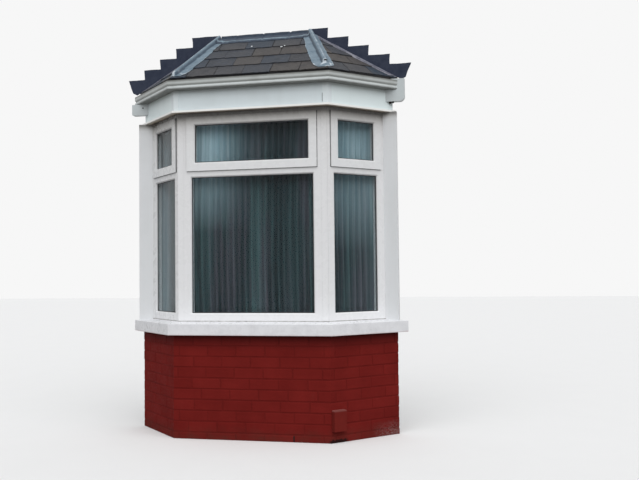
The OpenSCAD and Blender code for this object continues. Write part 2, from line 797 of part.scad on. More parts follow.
dwarf_wall();
sill();
window_board();
floor();
frame_left();
frame_front();
frame_right();
top_sash_left();
top_sash_front();
top_sash_right();
glass_left();
glass_front();
glass_right();
glazing_beads();
corner_post_left();
corner_post_right();
jamb_left();
jamb_right();
soffit_board();
fascia_left();
fascia_front();
fascia_right();
fascia_corners();
gutter_left();
gutter_front();
gutter_right();
eaves_block_left();
eaves_block_right();
head_plate();
ceiling();
rafters();
roof_boards();
slates_left();
slates_front();
slates_right();
hip_lead_left();
hip_lead_right();
apron_flashing();
stepped_flashing_left();
stepped_flashing_right();
curtain_track();
net_left();
net_front();
net_right();
wall_box();
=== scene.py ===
# %% [markdown]
# # A canted bay window
#
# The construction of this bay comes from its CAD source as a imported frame: the dwarf wall, the
# sill, three windows, the eaves and the little hipped roof are all there at their real size.
# This script gives every piece its look. It lays bricks and slates one by one, dresses the lead
# over them, hangs the net curtains and paints everything.
#
# The frame is loaded first. Its nodes sit at the origin with their place in their mesh, so
# nothing here ever has to move them.

import math
import random

import bpy
from mathutils import Matrix, Vector, noise


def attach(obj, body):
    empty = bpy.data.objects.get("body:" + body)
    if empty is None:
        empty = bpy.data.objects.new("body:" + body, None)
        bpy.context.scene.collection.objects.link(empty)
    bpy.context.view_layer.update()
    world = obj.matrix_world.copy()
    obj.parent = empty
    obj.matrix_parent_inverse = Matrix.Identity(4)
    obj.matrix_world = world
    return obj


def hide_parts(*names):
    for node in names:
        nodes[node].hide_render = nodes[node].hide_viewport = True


# Blender's vector noise starts from the clock unless it is given a seed
noise.seed_set(1)

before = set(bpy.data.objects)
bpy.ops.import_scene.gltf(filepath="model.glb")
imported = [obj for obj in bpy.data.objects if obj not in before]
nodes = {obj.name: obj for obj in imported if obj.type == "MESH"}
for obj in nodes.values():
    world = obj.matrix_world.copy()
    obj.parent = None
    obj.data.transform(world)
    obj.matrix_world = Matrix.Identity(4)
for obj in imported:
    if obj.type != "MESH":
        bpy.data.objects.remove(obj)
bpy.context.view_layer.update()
bpy.ops.object.select_all(action="DESELECT")

# %% [markdown]
# ## The plan in numbers
#
# A canted bay has a straight front and two sides that turn back to the house at 45 degrees.
# Masons set it out from one line, the face of the brickwork, and so does this script: "out" is
# a distance in front of that line, and a negative "out" lies behind it. With the corner and the
# wall end known for any "out", every board, slate and brick finds its mitre.

# %% The plan and the levels, in metres
FRONT_W = 1.130
DEPTH = 0.410
TURN = math.radians(45)
WALL_Y = 0.2315
WALL_H = 0.722
SLATE_Z = 2.542
ROOF_RISE = 0.379
EAVE_OUT = 0.015
HIP_X = 0.355
RIDGE_Z = SLATE_Z + ROOF_RISE
SIDE_NAMES = {-1: "left", 0: "front", 1: "right"}


def front_half(out):
    """Half the length of the front run, for a line at this distance out."""
    return FRONT_W / 2 + out * math.tan(TURN / 2)


def corner(out, side=1):
    """The point where the front run meets a side run."""
    return Vector((side * front_half(out), WALL_Y - DEPTH - out, 0))


def run_matrix(side):
    """Local x along a run, y in from the brick face, z up. side is -1 left, 0 front, 1 right."""
    if side == 0:
        return Matrix.Translation((0, WALL_Y - DEPTH, 0))
    c, s = math.cos(TURN), math.sin(TURN)
    turn = Matrix(((side * c, -side * s, 0, 0), (s, c, 0, 0), (0, 0, 1, 0), (0, 0, 0, 1)))
    return Matrix.Translation(corner(0, side)) @ turn


print("front corner at", [round(v, 3) for v in corner(0)])

# %% [markdown]
# ## Camera
#
# The camera stands in the street, a little to the right, at about chest height. Its place and
# turn come from fitting the edges of the bay to the picture, so the render can be laid over it.
# A camera looks along its own -Z, so the three columns of its matrix are right, up and back.

# %% Camera
CAMERA_AT = Vector((1.6735, -5.5643, 1.157))
YAW, PITCH, ROLL = -0.2152, 0.0388, -0.0112
FOCAL_IN_PIXELS = 811.0
PICTURE_W = 639

look = Vector((math.sin(YAW) * math.cos(PITCH), math.cos(YAW) * math.cos(PITCH), math.sin(PITCH)))
level = Vector((math.cos(YAW), -math.sin(YAW), 0))
over = level.cross(look)
right = level * math.cos(ROLL) + over * math.sin(ROLL)
up = over * math.cos(ROLL) - level * math.sin(ROLL)

bpy.ops.object.camera_add()
camera = bpy.context.object
camera.name = "street_camera"
camera.data.sensor_width = 36
camera.data.lens = FOCAL_IN_PIXELS * camera.data.sensor_width / PICTURE_W
turned = Matrix((right, up, -look)).transposed().to_4x4()
camera.matrix_world = Matrix.Translation(CAMERA_AT) @ turned
bpy.context.scene.camera = camera
print("lens", round(camera.data.lens, 2), "mm")

# %% [markdown]
# ## Tools for finishes
#
# A finish is a Principled shader with small patterns feeding it. The helpers below add one node
# each to the finish that was begun last, and hand back its output, so a material reads like a
# recipe: where on the piece, which pattern, how it changes the colour. All of them read Object
# coordinates. The pieces sit at the origin, so these are real metres, and a pattern keeps its
# scale on every piece.

# %% Begin a finish and add nodes to it
tree = None


def begin(made):
    """The patterns that follow go into this material or world."""
    global tree
    made.use_nodes = True
    tree = made.node_tree
    return made


def feed(entry, value):
    """Sets an input to a plain value, or joins another node's output to it."""
    if isinstance(value, bpy.types.NodeSocket):
        tree.links.new(value, entry)
    elif entry.type == "RGBA":
        entry.default_value = (*value, 1)
    else:
        entry.default_value = value


def add(kind, **inputs):
    """A new node, with values or outputs for its inputs."""
    made = tree.nodes.new("ShaderNode" + kind)
    for name, value in inputs.items():
        feed(made.inputs[name.replace("_", " ")], value)
    return made


def shader(name):
    """An input of the Principled shader."""
    return tree.nodes["Principled BSDF"].inputs[name]


def finish(name, colour, rough=0.5, **inputs):
    """Begins a new material with one Principled shader."""
    made = begin(bpy.data.materials.new(name))
    feed(shader("Base Color"), colour)
    feed(shader("Roughness"), rough)
    for entry, value in inputs.items():
        feed(shader(entry.replace("_", " ")), value)
    return made


# %% Places and patterns
def where(scale=(1, 1, 1), turn=(0, 0, 0)):
    """Object coordinates, in metres, stretched or turned for a pattern."""
    place = add("TexCoord").outputs["Object"]
    return add("Mapping", Vector=place, Scale=scale, Rotation=turn).outputs[0]


def cloud(at, scale, detail=4, rough=0.55, warp=0.0):
    """A noise pattern, 0 to 1."""
    return add("TexNoise", Vector=at, Scale=scale, Detail=detail, Roughness=rough,
               Distortion=warp).outputs["Fac"]


def cells(at, scale):
    """Round spots: the distance to the nearest of many scattered points."""
    return add("TexVoronoi", Vector=at, Scale=scale).outputs["Distance"]


def part_of(at, axis):
    """One coordinate of a place."""
    return add("SeparateXYZ", Vector=at).outputs[axis]


# %% Sums and mixes
def window(value, low, high, to_low=0.0, to_high=1.0):
    """Stretches a value from low..high to to_low..to_high, and clamps it there."""
    return add("MapRange", Value=value, From_Min=low, From_Max=high, To_Min=to_low,
               To_Max=to_high).outputs[0]


def maths(operation, a, b):
    """A sum of two values; either may be a plain number."""
    made = add("Math")
    made.operation = operation
    feed(made.inputs[0], a)
    feed(made.inputs[1], b)
    return made.outputs[0]


def times(a, b):
    return maths("MULTIPLY", a, b)


def plus(a, b):
    return maths("ADD", a, b)


def frayed(value, pattern, by):
    """A value that a pattern moves up and down by this much."""
    return plus(value, window(pattern, 0, 1, -by, by))


def blend(share, a, b, kind="MIX"):
    """Mixes two colours; either may be three plain numbers."""
    made = add("Mix")
    made.data_type = "RGBA"
    made.blend_type = kind
    feed(made.inputs["Factor"], share)
    feed(made.inputs[6], a)
    feed(made.inputs[7], b)
    return made.outputs[2]


def colours(value, *stops):
    """A colour ramp: each stop is a place and a colour."""
    made = add("ValToRGB", Fac=value)
    while len(made.color_ramp.elements) < len(stops):
        made.color_ramp.elements.new(1)
    for element, (place, colour) in zip(made.color_ramp.elements, stops):
        element.position = place
        element.color = (*colour, 1)
    return made.outputs["Color"]


# %% Join a pattern to the shader
def paint(colour):
    feed(shader("Base Color"), colour)


def painted():
    """What was last joined to the colour, to paint over."""
    return shader("Base Color").links[0].from_socket


def roughness(value):
    feed(shader("Roughness"), value)


def relief(height, depth, strength=1.0):
    """Bump from a height of 0 to 1, depth metres deep."""
    bump = add("Bump", Height=height, Distance=depth, Strength=strength)
    feed(shader("Normal"), bump.outputs["Normal"])


# %% Marks on the mesh, rays, and a coat for a piece
def read(name):
    """A number that the mesh carries at each of its points."""
    made = add("Attribute")
    made.attribute_name = name
    return made.outputs["Fac"]


def seen_directly():
    """1 for what the camera, mirrors and glass see, 0 for what gives light."""
    rays = add("LightPath").outputs
    mirrored = maths("MAXIMUM", rays["Is Camera Ray"], rays["Is Glossy Ray"])
    return maths("MAXIMUM", mirrored, rays["Is Transmission Ray"])


def coat(piece, *made):
    """Gives a piece its material or materials."""
    piece.data.materials.clear()
    for one in made:
        piece.data.materials.append(one)


print("helpers for materials ready")

# %% [markdown]
# ## Light and floor
#
# The picture was taken under an overcast sky: soft light from everywhere and a little more from
# above. A plain white world gives that without a sky picture, and one wide lamp adds enough
# direction for the sill and the gutter to throw a soft shadow. What the camera, mirrors and
# glass see of the world and the floor is set apart from what they give as light, so both can be
# pale without more light.

# %% World, lamp and floor
SKY_LIGHT = 0.48
SKY_SEEN = 0.93

world = begin(bpy.data.worlds.new("overcast"))
bpy.context.scene.world = world
tree.nodes.clear()
giving = add("Background", Color=(0.97, 0.985, 1), Strength=SKY_LIGHT)
showing = add("Background", Color=(SKY_SEEN, SKY_SEEN, SKY_SEEN))
either = add("MixShader", Fac=seen_directly())
feed(either.inputs[1], giving.outputs[0])
feed(either.inputs[2], showing.outputs[0])
add("OutputWorld", Surface=either.outputs[0])

bpy.ops.object.light_add(type="SUN", rotation=(math.radians(38), math.radians(16), 0))
lamp = bpy.context.object
lamp.name = "high_soft_light"
lamp.data.energy = 2.5
lamp.data.angle = math.radians(80)
lamp.visible_glossy = False

bpy.ops.mesh.primitive_plane_add(size=60, location=(0, 0, -0.0012))
floor = bpy.context.object
floor.name = "pale_floor"
coat(floor, finish("pale_floor", (0.80, 0.80, 0.80), 0.9))
shown = blend(cloud(where(), 3.0, 3), (0.79, 0.79, 0.79), (0.81, 0.81, 0.81))
paint(blend(seen_directly(), (0.27, 0.265, 0.26), shown))
bpy.context.scene.view_settings.view_transform = "Standard"
print("sky", SKY_LIGHT, "lamp", lamp.data.energy)

# %% [markdown]
# ## Tools for modelling
#
# Every operator acts on all that is selected, so each helper selects just its own piece first.
# A piece is modelled flat and square near the origin, where sizes are easy to read, and then
# placed by a matrix that goes straight into its mesh. The left side mirrors the right one. A
# mirror turns faces inside out, so those are flipped back.

# %% Edit steps
ACROSS_Y = (math.radians(90), 0, 0)


def only(piece):
    bpy.ops.object.select_all(action="DESELECT")
    piece.select_set(True)
    bpy.context.view_layer.objects.active = piece


def edit(piece, *steps):
    """Runs edit-mode steps on the whole piece."""
    only(piece)
    bpy.ops.object.mode_set(mode="EDIT")
    bpy.ops.mesh.select_all(action="SELECT")
    for step in steps:
        step()
    bpy.ops.object.mode_set(mode="OBJECT")


def bevelled(offset, segments):
    """An edit step that rounds every edge."""
    return lambda: bpy.ops.mesh.bevel(offset=offset, segments=segments, affect="EDGES")


def cut_finer(cuts):
    """An edit step that divides every face."""
    return lambda: bpy.ops.mesh.subdivide(number_cuts=cuts)


# %% Simple shapes
def block(name, size):
    """A box of this size, centred on the origin."""
    bpy.ops.mesh.primitive_cube_add(size=1)
    made = bpy.context.object
    made.name = name
    made.data.transform(Matrix.Diagonal((*size, 1)))
    return made


def rod(name, radius, length, vertices):
    """A round bar along Y."""
    bpy.ops.mesh.primitive_cylinder_add(vertices=vertices, radius=radius, depth=length,
                                        rotation=ACROSS_Y)
    bpy.ops.object.transform_apply()
    bpy.context.object.name = name
    return bpy.context.object


# %% Copy, join and place
def copied(piece, name):
    """A new object with its own copy of a mesh."""
    made = bpy.data.objects.new(name, piece.data.copy())
    bpy.context.scene.collection.objects.link(made)
    return made


def joined(parts, name):
    only(parts[0])
    for part in parts:
        part.select_set(True)
    bpy.ops.object.join()
    parts[0].name = name
    return parts[0]


def placed(piece, matrix):
    """Puts a place into the mesh, and keeps the faces pointing outwards."""
    piece.data.transform(matrix)
    if matrix.determinant() < 0:
        piece.data.flip_normals()
    return piece


def on_side(piece, side):
    """Mirrors what was made for the right side if it belongs on the left."""
    return placed(piece, Matrix.Diagonal((-1, 1, 1, 1))) if side < 0 else piece


# %% Trim at a corner
def trimmed(piece, point, away, fill=True):
    """Cuts off what lies past a plane, on the side that "away" points to."""
    edit(piece, lambda: bpy.ops.mesh.bisect(
        plane_co=point, plane_no=away, use_fill=fill, clear_outer=True))
    return piece


def trimmed_at(piece, side, line, fill=True):
    """Trims one run's piece at its corners, along a line given by two points in plan."""
    for turn in ((-1, 1) if side == 0 else (side,)):
        start, end = line(turn)
        past = (end - start).cross(Vector((0, 0, 1))).normalized()
        if past.x * turn < 0:
            past = -past
        trimmed(piece, start, past if side == 0 else -past, fill)
    return piece


def mitre_line(turn):
    return corner(0, turn), corner(-0.1, turn)


def hip_line(turn):
    return Vector((turn * HIP_X, WALL_Y, 0)), corner(EAVE_OUT, turn)


def short_of_wall(piece, gap, fill=True):
    return trimmed(piece, Vector((0, WALL_Y - gap, 0)), Vector((0, 1, 0)), fill)


def mitred(piece, side):
    """Trims one run's piece at its corners and just short of the house wall."""
    trimmed_at(piece, side, mitre_line)
    return short_of_wall(piece, 0.0006) if side else piece


# %% Modifiers, noise and marks
def applied(piece, kind, **settings):
    """Adds a modifier and applies it."""
    only(piece)
    made = piece.modifiers.new(kind.lower(), kind)
    for setting, value in settings.items():
        setattr(made, setting, value)
    bpy.ops.object.modifier_apply(modifier=made.name)
    return piece


def ripple(*at):
    """Smooth noise at a place, -1 to 1."""
    return noise.noise(Vector(at))


def shaken(piece, amount, grain, seed):
    """Moves every point a little, so that no edge is dead straight."""
    shift = Vector((seed * 7.3, seed * 3.1, seed * 1.7))
    for point in piece.data.vertices:
        point.co += noise.noise_vector(point.co * grain + shift) * amount
    return piece


def marked(piece, **marks):
    """Gives every point its own number under each name, for a finish to read."""
    for name, values in marks.items():
        piece.data.attributes.new(name, "FLOAT", "POINT").data.foreach_set("value", values)
    return piece


def merged(piece):
    """Joins a CAD copy's loose triangles into plain flat faces."""
    edit(piece, lambda: bpy.ops.mesh.remove_doubles(threshold=0.00001),
         lambda: bpy.ops.mesh.dissolve_limited(angle_limit=math.radians(0.5)))
    return piece


# %% Hand a piece over
def finished(piece, slot, *made, stands_for=()):
    """The last steps of every new piece: its body and its material. slot is not used."""
    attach(piece, "root")
    if stands_for:
        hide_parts(*stands_for)
    coat(piece, *made)
    print(piece.name, "-", len(piece.data.polygons), "faces")
    return piece


# %% [markdown]
# ## Masonry paint
#
# The dwarf wall has been rolled with thick dark red masonry paint, over bricks and joints
# alike. The colour is a little uneven, as a second coat over old paint is, it is chalky where
# rain runs, and it is browner near the ground where dirt splashes up. Low at the right end it
# is scuffed, and under the small box it is black with damp. The joints are in the same paint,
# but never see a dry roller, so they stay darker. Clouds of noise, each kept to its own height
# and place, give all of that without a picture.

# %% A recipe for masonry paint
def masonry_paint(name, pale, deep):
    made = finish(name, pale, 0.72, Specular_IOR_Level=0.03)
    at = where()
    tone = blend(window(cloud(at, 5, 6, 0.6), 0.3, 0.7), deep, pale)
    own = colours(read("tint"), (0.0, (1, 1, 1)), (0.3, (0.93, 0.92, 0.92)),
                  (1.0, (1.06, 1.07, 1.06)))
    tone = blend(1.0, tone, own, "MULTIPLY")
    chalk = window(cloud(where((1, 1, 0.25)), 22, 6, 0.7), 0.60, 0.82, 0, 0.16)
    tone = blend(chalk, tone, (0.20, 0.045, 0.038))
    height, along = part_of(at, "Z"), part_of(at, "X")
    splash = times(window(height, 0.16, 0.0), cloud(at, 14, 4))
    tone = blend(window(splash, 0.2, 0.75, 0, 0.55), tone, (0.070, 0.030, 0.022))
    low_right = times(window(height, 0.11, 0.02), window(along, 0.80, 0.93))
    scuffs = times(window(cloud(at, 130, 3, 0.6), 0.44, 0.66), low_right)
    tone = blend(times(scuffs, 0.7), tone, (0.34, 0.24, 0.235))
    ragged = frayed(height, cloud(at, 60, 3), 0.016)
    under_box = times(window(along, 0.545, 0.562), window(along, 0.665, 0.645))
    damp = times(window(ragged, 0.024, 0.016), under_box)
    tone = blend(times(damp, 0.9), tone, (0.012, 0.008, 0.008))
    # Painted shade: the wall is darker just under the sill's overhang.
    painted_shade_under_sill = window(height, 0.615, 0.715, 0, 0.6)
    paint(blend(painted_shade_under_sill, tone, (0.045, 0.009, 0.009)))
    roughness(window(cloud(at, 60, 3), 0.3, 0.7, 0.62, 0.82))
    lumps = plus(cloud(at, 90, 5, 0.65), cloud(where((1, 1, 2.5)), 260, 2))
    relief(lumps, 0.0012, 0.7)
    return made


# %% The masonry paints
brick_paint = masonry_paint("masonry_paint", (0.172, 0.0150, 0.0130), (0.136, 0.0118, 0.0102))
joint_paint = masonry_paint("masonry_paint_in_joints", (0.150, 0.0135, 0.0115),
                            (0.116, 0.0105, 0.0092))
box_paint = masonry_paint("masonry_paint_on_box", (0.165, 0.0185, 0.0150),
                          (0.126, 0.0145, 0.0120))
# The box is paler along its top rim: a painted highlight, with some dust.
dust_and_highlight_on_top = window(part_of(where(), "Z"), 0.209, 0.219, 0, 0.5)
paint(blend(dust_and_highlight_on_top, painted(), (0.28, 0.12, 0.11)))
print("painted finishes ready")

# %% [markdown]
# ## The sawn end and the plaster
#
# Where the bay is cut off at the house wall, raw brickwork shows: bare bricks and pale mortar
# in their courses. A brick pattern does for that, since the cut is flat. Inside, the wall has
# ordinary trowelled plaster.

# %% Raw brickwork and plaster
raw_brick = finish("sawn_brickwork", (0.36, 0.12, 0.07), 0.9)
lay = add("TexBrick", Vector=where(turn=ACROSS_Y), Scale=1, Brick_Width=0.215, Row_Height=0.075,
          Mortar_Size=0.005, Color1=(0.33, 0.10, 0.06), Color2=(0.40, 0.15, 0.09),
          Mortar=(0.42, 0.39, 0.34))
grit = cloud(where(), 120, 4)
paint(blend(window(grit, 0.3, 0.8, 0, 0.5), lay.outputs["Color"], (0.20, 0.09, 0.07)))
relief(grit, 0.001)

plaster = finish("room_plaster", (0.62, 0.58, 0.51), 0.85)
trowel = cloud(where((1, 1, 0.4)), 9, 5)
paint(blend(trowel, (0.56, 0.52, 0.45), (0.68, 0.64, 0.57)))
relief(trowel, 0.002, 0.5)
print("sawn end and plaster ready")

# %% [markdown]
# ## The dwarf wall
#
# The mortar comes first: a copy of the CAD wall, with its street face moved in a few
# millimetres, so that every brick can stand proud of it. Only the points of that face move, and
# they are found by their place in plan.

# %% The mortar body
PROUD = 0.0026


def street_end(out, side):
    """The point in plan where a side's face meets the house wall."""
    return Vector((side * (front_half(out) + (DEPTH + out) / math.tan(TURN)), WALL_Y, 0))


mortar = merged(copied(nodes["dwarf_wall"], "dwarf_wall_mortar"))
face_points = {(round(p.x, 4), round(p.y, 4)): q for s in (-1, 1) for p, q in (
    (corner(0, s), corner(-PROUD, s)), (street_end(0, s), street_end(-PROUD, s)))}
moved = 0
for point in mortar.data.vertices:
    new = face_points.get((round(point.co.x, 4), round(point.co.y, 4)))
    if new:
        point.co.x, point.co.y = new.x, new.y
        moved += 1
finished(mortar, "painted_brick", joint_paint, plaster, raw_brick, stands_for=("dwarf_wall",))
for face in mortar.data.polygons:
    if face.normal.y > 0.9 and face.center.y > WALL_Y - 0.001:
        face.material_index = 2
    elif face.normal.y > 0.3 and face.normal.z < 0.5:
        face.material_index = 1
print("street face points moved in:", moved)

# %% [markdown]
# ## The bricks
#
# A pattern of bricks on a flat wall would have flat edges against the ground and the sky, so
# real bricks are laid. One brick is modelled with soft arrises and shaken a little, a few times
# over, and copies are laid in half bond from joints that were measured on the wall. Courses are
# counted down from the sill, so the cut course is at the ground. Paint has nearly closed the
# upright joints. At the corners the bricks are mitred, as squints are.

# %% Brick patterns and courses
COURSE = 0.075
JOINT = 0.0080
UPRIGHT_JOINT = 0.0058
STRETCHER = 0.208
BRICK_IN = 0.024
# Distance of one upright joint from the middle of the front, for each course from the sill down
FRONT_JOINTS = (-0.005, 0.102, 0.0, 0.089, -0.012, 0.055, 0.002, 0.1, -0.04, 0.095)
SIDE_JOINTS = (0.13, 0.035, 0.14, 0.028, 0.125, 0.042, 0.135, 0.03, 0.12, 0.038)


def along_course(joint, first, last, wide):
    """The middle of each unit in a course, from first to last, with a joint where it was seen."""
    x = joint - wide * math.ceil((joint - first) / wide) + wide / 2
    while x - wide / 2 < last:
        yield x
        x += wide


random.seed(5)
patterns = []
for seed in range(6):
    brick = block(f"brick_{seed}", (STRETCHER - UPRIGHT_JOINT, BRICK_IN, COURSE - JOINT))
    edit(brick, bevelled(0.0032, 2), cut_finer(2))
    patterns.append(shaken(brick, 0.0011, 32, seed))
print("brick patterns:", len(patterns))


# %% Lay the bricks
def laid_bricks(side):
    """All bricks of one run, mitred at the corner and cut at the house wall and the ground."""
    half_run = FRONT_W / 2 if side == 0 else DEPTH / math.sin(TURN)
    first, last = (-half_run, half_run) if side == 0 else (-0.02, half_run)
    bricks = []
    for course, joints in enumerate(zip(FRONT_JOINTS, SIDE_JOINTS)):
        z = WALL_H - COURSE * (course + 0.5)
        for x in along_course(joints[abs(side)], first, last, STRETCHER):
            brick = copied(random.choice(patterns), "laid_brick")
            marked(brick, tint=[random.uniform(0.3, 1)] * len(brick.data.vertices))
            flip = Matrix.Rotation(math.pi * random.randint(0, 1), 4, "Y")
            brick.data.transform(Matrix.Translation((
                x + random.uniform(-0.002, 0.002),
                BRICK_IN / 2 + random.uniform(0.0002, 0.0014),
                z + random.uniform(-0.0009, 0.0009))) @ flip)
            bricks.append(brick)
    run = placed(joined(bricks, "bricks_" + SIDE_NAMES[side]), run_matrix(side))
    trimmed(run, Vector((0, 0, 0)), Vector((0, 0, -1)))
    return mitred(run, side)


for side in SIDE_NAMES:
    finished(laid_bricks(side), "painted_brick", brick_paint)
for brick in patterns:
    bpy.data.objects.remove(brick)

# %% [markdown]
# ## Weep slots
#
# Three upright joints at the very foot were left open to drain the wall. They show as dark
# slots, so each is a thin plate of black shadow set back in its joint.

# %% Weep slots
black_and_shade = finish("open_joint", (0.006, 0.004, 0.004), 0.95)
paint(blend(cloud(where(), 40, 3), (0.004, 0.003, 0.003), (0.010, 0.006, 0.005)))
slots = []
for x in (-0.313, -0.105, 0.303):
    slot = block("slot", (0.009, 0.002, 0.040))
    edit(slot, bevelled(0.0006, 1))
    slots.append(placed(slot, run_matrix(0) @ Matrix.Translation((x, PROUD - 0.0006, 0.0215))))
finished(joined(slots, "weep_slots"), "painted_brick", black_and_shade)

# %% [markdown]
# ## White finishes
#
# Everything white on this bay is a different white. The windows are glossy and cool, the
# linings beside them duller, and the eaves boards have gone grey, the front board darker than the
# side ones. The gutter is greyer still, with streaks where water runs down. One recipe makes them
# all: a clean and a dirty colour, mixed by streaks and patches.

# %% A recipe for weathered white
def weathered_white(name, clean, dirty, rough, streaks, patches, bumps=0.0001):
    made = finish(name, clean, rough, Specular_IOR_Level=0.35)
    at = where()
    down = cloud(where((1, 1, 0.07)), 16, 5, 0.6)
    tone = blend(window(down, 0.48, 0.85, 0, streaks), clean, dirty)
    paint(blend(window(cloud(at, 5, 5), 0.5, 0.8, 0, patches), tone, dirty))
    roughness(window(cloud(at, 18, 4), 0.3, 0.7, rough - 0.06, rough + 0.1))
    relief(cloud(at, 110, 3), bumps, 0.5)
    return made


# %% The whites
window_white = weathered_white(
    "window_plastic", (0.785, 0.79, 0.805), (0.64, 0.645, 0.64), 0.26, 0.10, 0.10, 0.00002)
sash_white = weathered_white(
    "sash_plastic", (0.785, 0.795, 0.81), (0.64, 0.65, 0.65), 0.26, 0.08, 0.08, 0.00002)
jamb_white = weathered_white(
    "lining_board", (0.705, 0.72, 0.735), (0.56, 0.58, 0.58), 0.36, 0.15, 0.2, 0.00003)
eaves_white = weathered_white(
    "eaves_board", (0.665, 0.735, 0.76), (0.53, 0.575, 0.585), 0.36, 0.18, 0.3)
side_eaves_white = weathered_white(
    "eaves_board_of_sides", (0.745, 0.83, 0.84), (0.60, 0.66, 0.66), 0.36, 0.18, 0.3)
cover_white = weathered_white(
    "cover_strip", (0.70, 0.76, 0.78), (0.57, 0.60, 0.61), 0.34, 0.10, 0.2)
block_white = weathered_white("eaves_block", (0.50, 0.54, 0.55), (0.36, 0.38, 0.38), 0.36, 0.3, 0.4)
gutter_grey = weathered_white(
    "gutter_paint", (0.52, 0.555, 0.555), (0.30, 0.315, 0.30), 0.42, 0.25, 0.45)
room_white = weathered_white("room_gloss", (0.80, 0.79, 0.76), (0.66, 0.64, 0.60), 0.3, 0.1, 0.2)
ceiling_white = weathered_white(
    "ceiling_emulsion", (0.82, 0.81, 0.79), (0.72, 0.71, 0.68), 0.85, 0.1, 0.3)
print("whites ready")

# %% [markdown]
# ## Painted shade by height
#
# Shade is painted into these finishes: under the gutter's bead, in its waist and below the
# slates' edge at its top, on the fascia under the gutter, and on the window heads and linings
# under the eaves. The pieces are level all round, so the painted shade can simply go by height.
# Each list gives a height in metres and how much light the paint still throws back there.

# %% Painted shade by height
def painted_shade_by_height(made, *levels):
    """Paints shade into a finish: multiplies it by a grey that goes by height, browner where
    darker.
    """
    begin(made)
    before, at = painted(), where()
    low, high = levels[0][0], levels[-1][0]
    height = frayed(part_of(at, "Z"), cloud(at, 22, 4), 0.003)
    grey = colours(window(height, low, high), *[
        ((z - low) / (high - low), (g, g * (0.94 + 0.06 * g), g * (0.86 + 0.14 * g)))
        for z, g in levels])
    paint(blend(1.0, before, grey, "MULTIPLY"))


painted_shade_by_height(gutter_grey, (2.450, 0.20), (2.457, 0.42), (2.464, 1.0), (2.479, 1.0), (2.483, 0.45),
       (2.487, 0.70), (2.495, 0.78), (2.504, 0.90), (2.512, 0.52), (2.524, 0.20))
for made in (eaves_white, side_eaves_white, cover_white):
    painted_shade_by_height(made, (2.300, 1.0), (2.388, 1.0), (2.430, 0.94), (2.460, 0.60))
for made in (window_white, sash_white):
    painted_shade_by_height(made, (0.80, 1.0), (0.90, 1.0), (1.05, 0.97), (1.90, 0.93), (2.08, 0.90), (2.16, 0.82),
           (2.20, 0.70), (2.225, 0.56), (2.245, 0.40), (2.262, 0.22), (2.274, 0.15), (2.290, 0.20),
           (2.300, 0.20))
painted_shade_by_height(jamb_white, (2.10, 1.0), (2.20, 0.97), (2.245, 0.90), (2.262, 0.72), (2.274, 0.50),
       (2.284, 0.30), (2.300, 0.30))
print("painted shade laid on")

# %% [markdown]
# ## The soffit
#
# The soffit's edge is a clean bright line, and its underside goes brown towards the frames,
# where no rain ever reaches, and then nearly black against them, which is painted shade. Height
# can't say that, so this finish measures how far each point lies in front of the brick face, on
# whichever side of the bay it is.

# %% Soffit finish
def distance_out(at):
    """How far a point lies in front of the brick face, whichever run it belongs to."""
    x, y = maths("ABSOLUTE", part_of(at, "X"), 0), part_of(at, "Y")
    ahead = maths("SUBTRACT", WALL_Y - DEPTH, y)
    past_corner = plus(maths("SUBTRACT", x, FRONT_W / 2), ahead)
    return maths("MAXIMUM", ahead, times(past_corner, math.sin(TURN)))


soffit_white = weathered_white(
    "soffit_board", (0.88, 0.88, 0.86), (0.76, 0.755, 0.73), 0.34, 0.2, 0.2)
before, at = painted(), where()
in_from_edge = frayed(distance_out(at), cloud(at, 18, 5), 0.006)
# Dirt and painted shade: brown under the soffit, going nearly black near the frames.
dirt_and_shade_in = colours(window(in_from_edge, 0.007, -0.045), (0.0, (0.95, 0.91, 0.85)),
                  (0.45, (0.86, 0.78, 0.68)), (0.75, (0.42, 0.33, 0.25)),
                  (1.0, (0.10, 0.065, 0.045)))
underneath = window(part_of(at, "Z"), 2.2980, 2.2972)
paint(blend(underneath, before, blend(1.0, before, dirt_and_shade_in, "MULTIPLY")))
print("soffit finish ready")

# %% [markdown]
# ## The sill
#
# The sill is cast and has had many coats of gloss, so its edges are round and nothing on it is
# quite straight. The CAD solid has the right section. A copy of it is merged and its edges are
# bevelled. The paint is thick and a little patchy, with specks of dirt on top, pink where it
# runs into the masonry paint, and chipped to the red along its lower edge.

# %% Sill
sill_white = finish("sill_gloss", (0.72, 0.725, 0.75), 0.32, Specular_IOR_Level=0.35)
at = where()
height = part_of(at, "Z")
tone = blend(window(cloud(at, 13, 6, 0.65), 0.45, 0.72, 0, 0.7),
             (0.745, 0.75, 0.775), (0.60, 0.605, 0.63))
specks = window(cells(where((1, 1, 1.4)), 75), 0.16, 0.06, 0, 0.5)
specks = times(specks, window(cloud(at, 5, 3), 0.45, 0.6))
tone = blend(specks, tone, (0.36, 0.35, 0.35))
edge = frayed(height, cloud(at, 16, 4), 0.007)
tone = blend(window(edge, 0.733, 0.722, 0, 0.55), tone, (0.60, 0.44, 0.44))
chips = times(window(cells(at, 34), 0.10, 0.04, 0, 1), window(height, 0.742, 0.724))
paint(blend(chips, tone, (0.30, 0.10, 0.09)))
roughness(window(cloud(at, 30, 4), 0.3, 0.7, 0.22, 0.42))
relief(cloud(where((0.3, 1, 1)), 18, 3), 0.0006, 0.4)

sill = merged(copied(nodes["sill"], "cast_sill"))
applied(sill, "BEVEL", width=0.005, segments=3, limit_method="ANGLE",
        angle_limit=math.radians(40))
finished(sill, "painted_sill", sill_white, stands_for=("sill",))
edit(sill, lambda: bpy.ops.mesh.normals_make_consistent(inside=False))

# %% [markdown]
# ## Painting the CAD pieces
#
# Frames, boards and gutter keep the CAD shape, which is exact. They only need their finish, so
# they are painted by the start of their name.

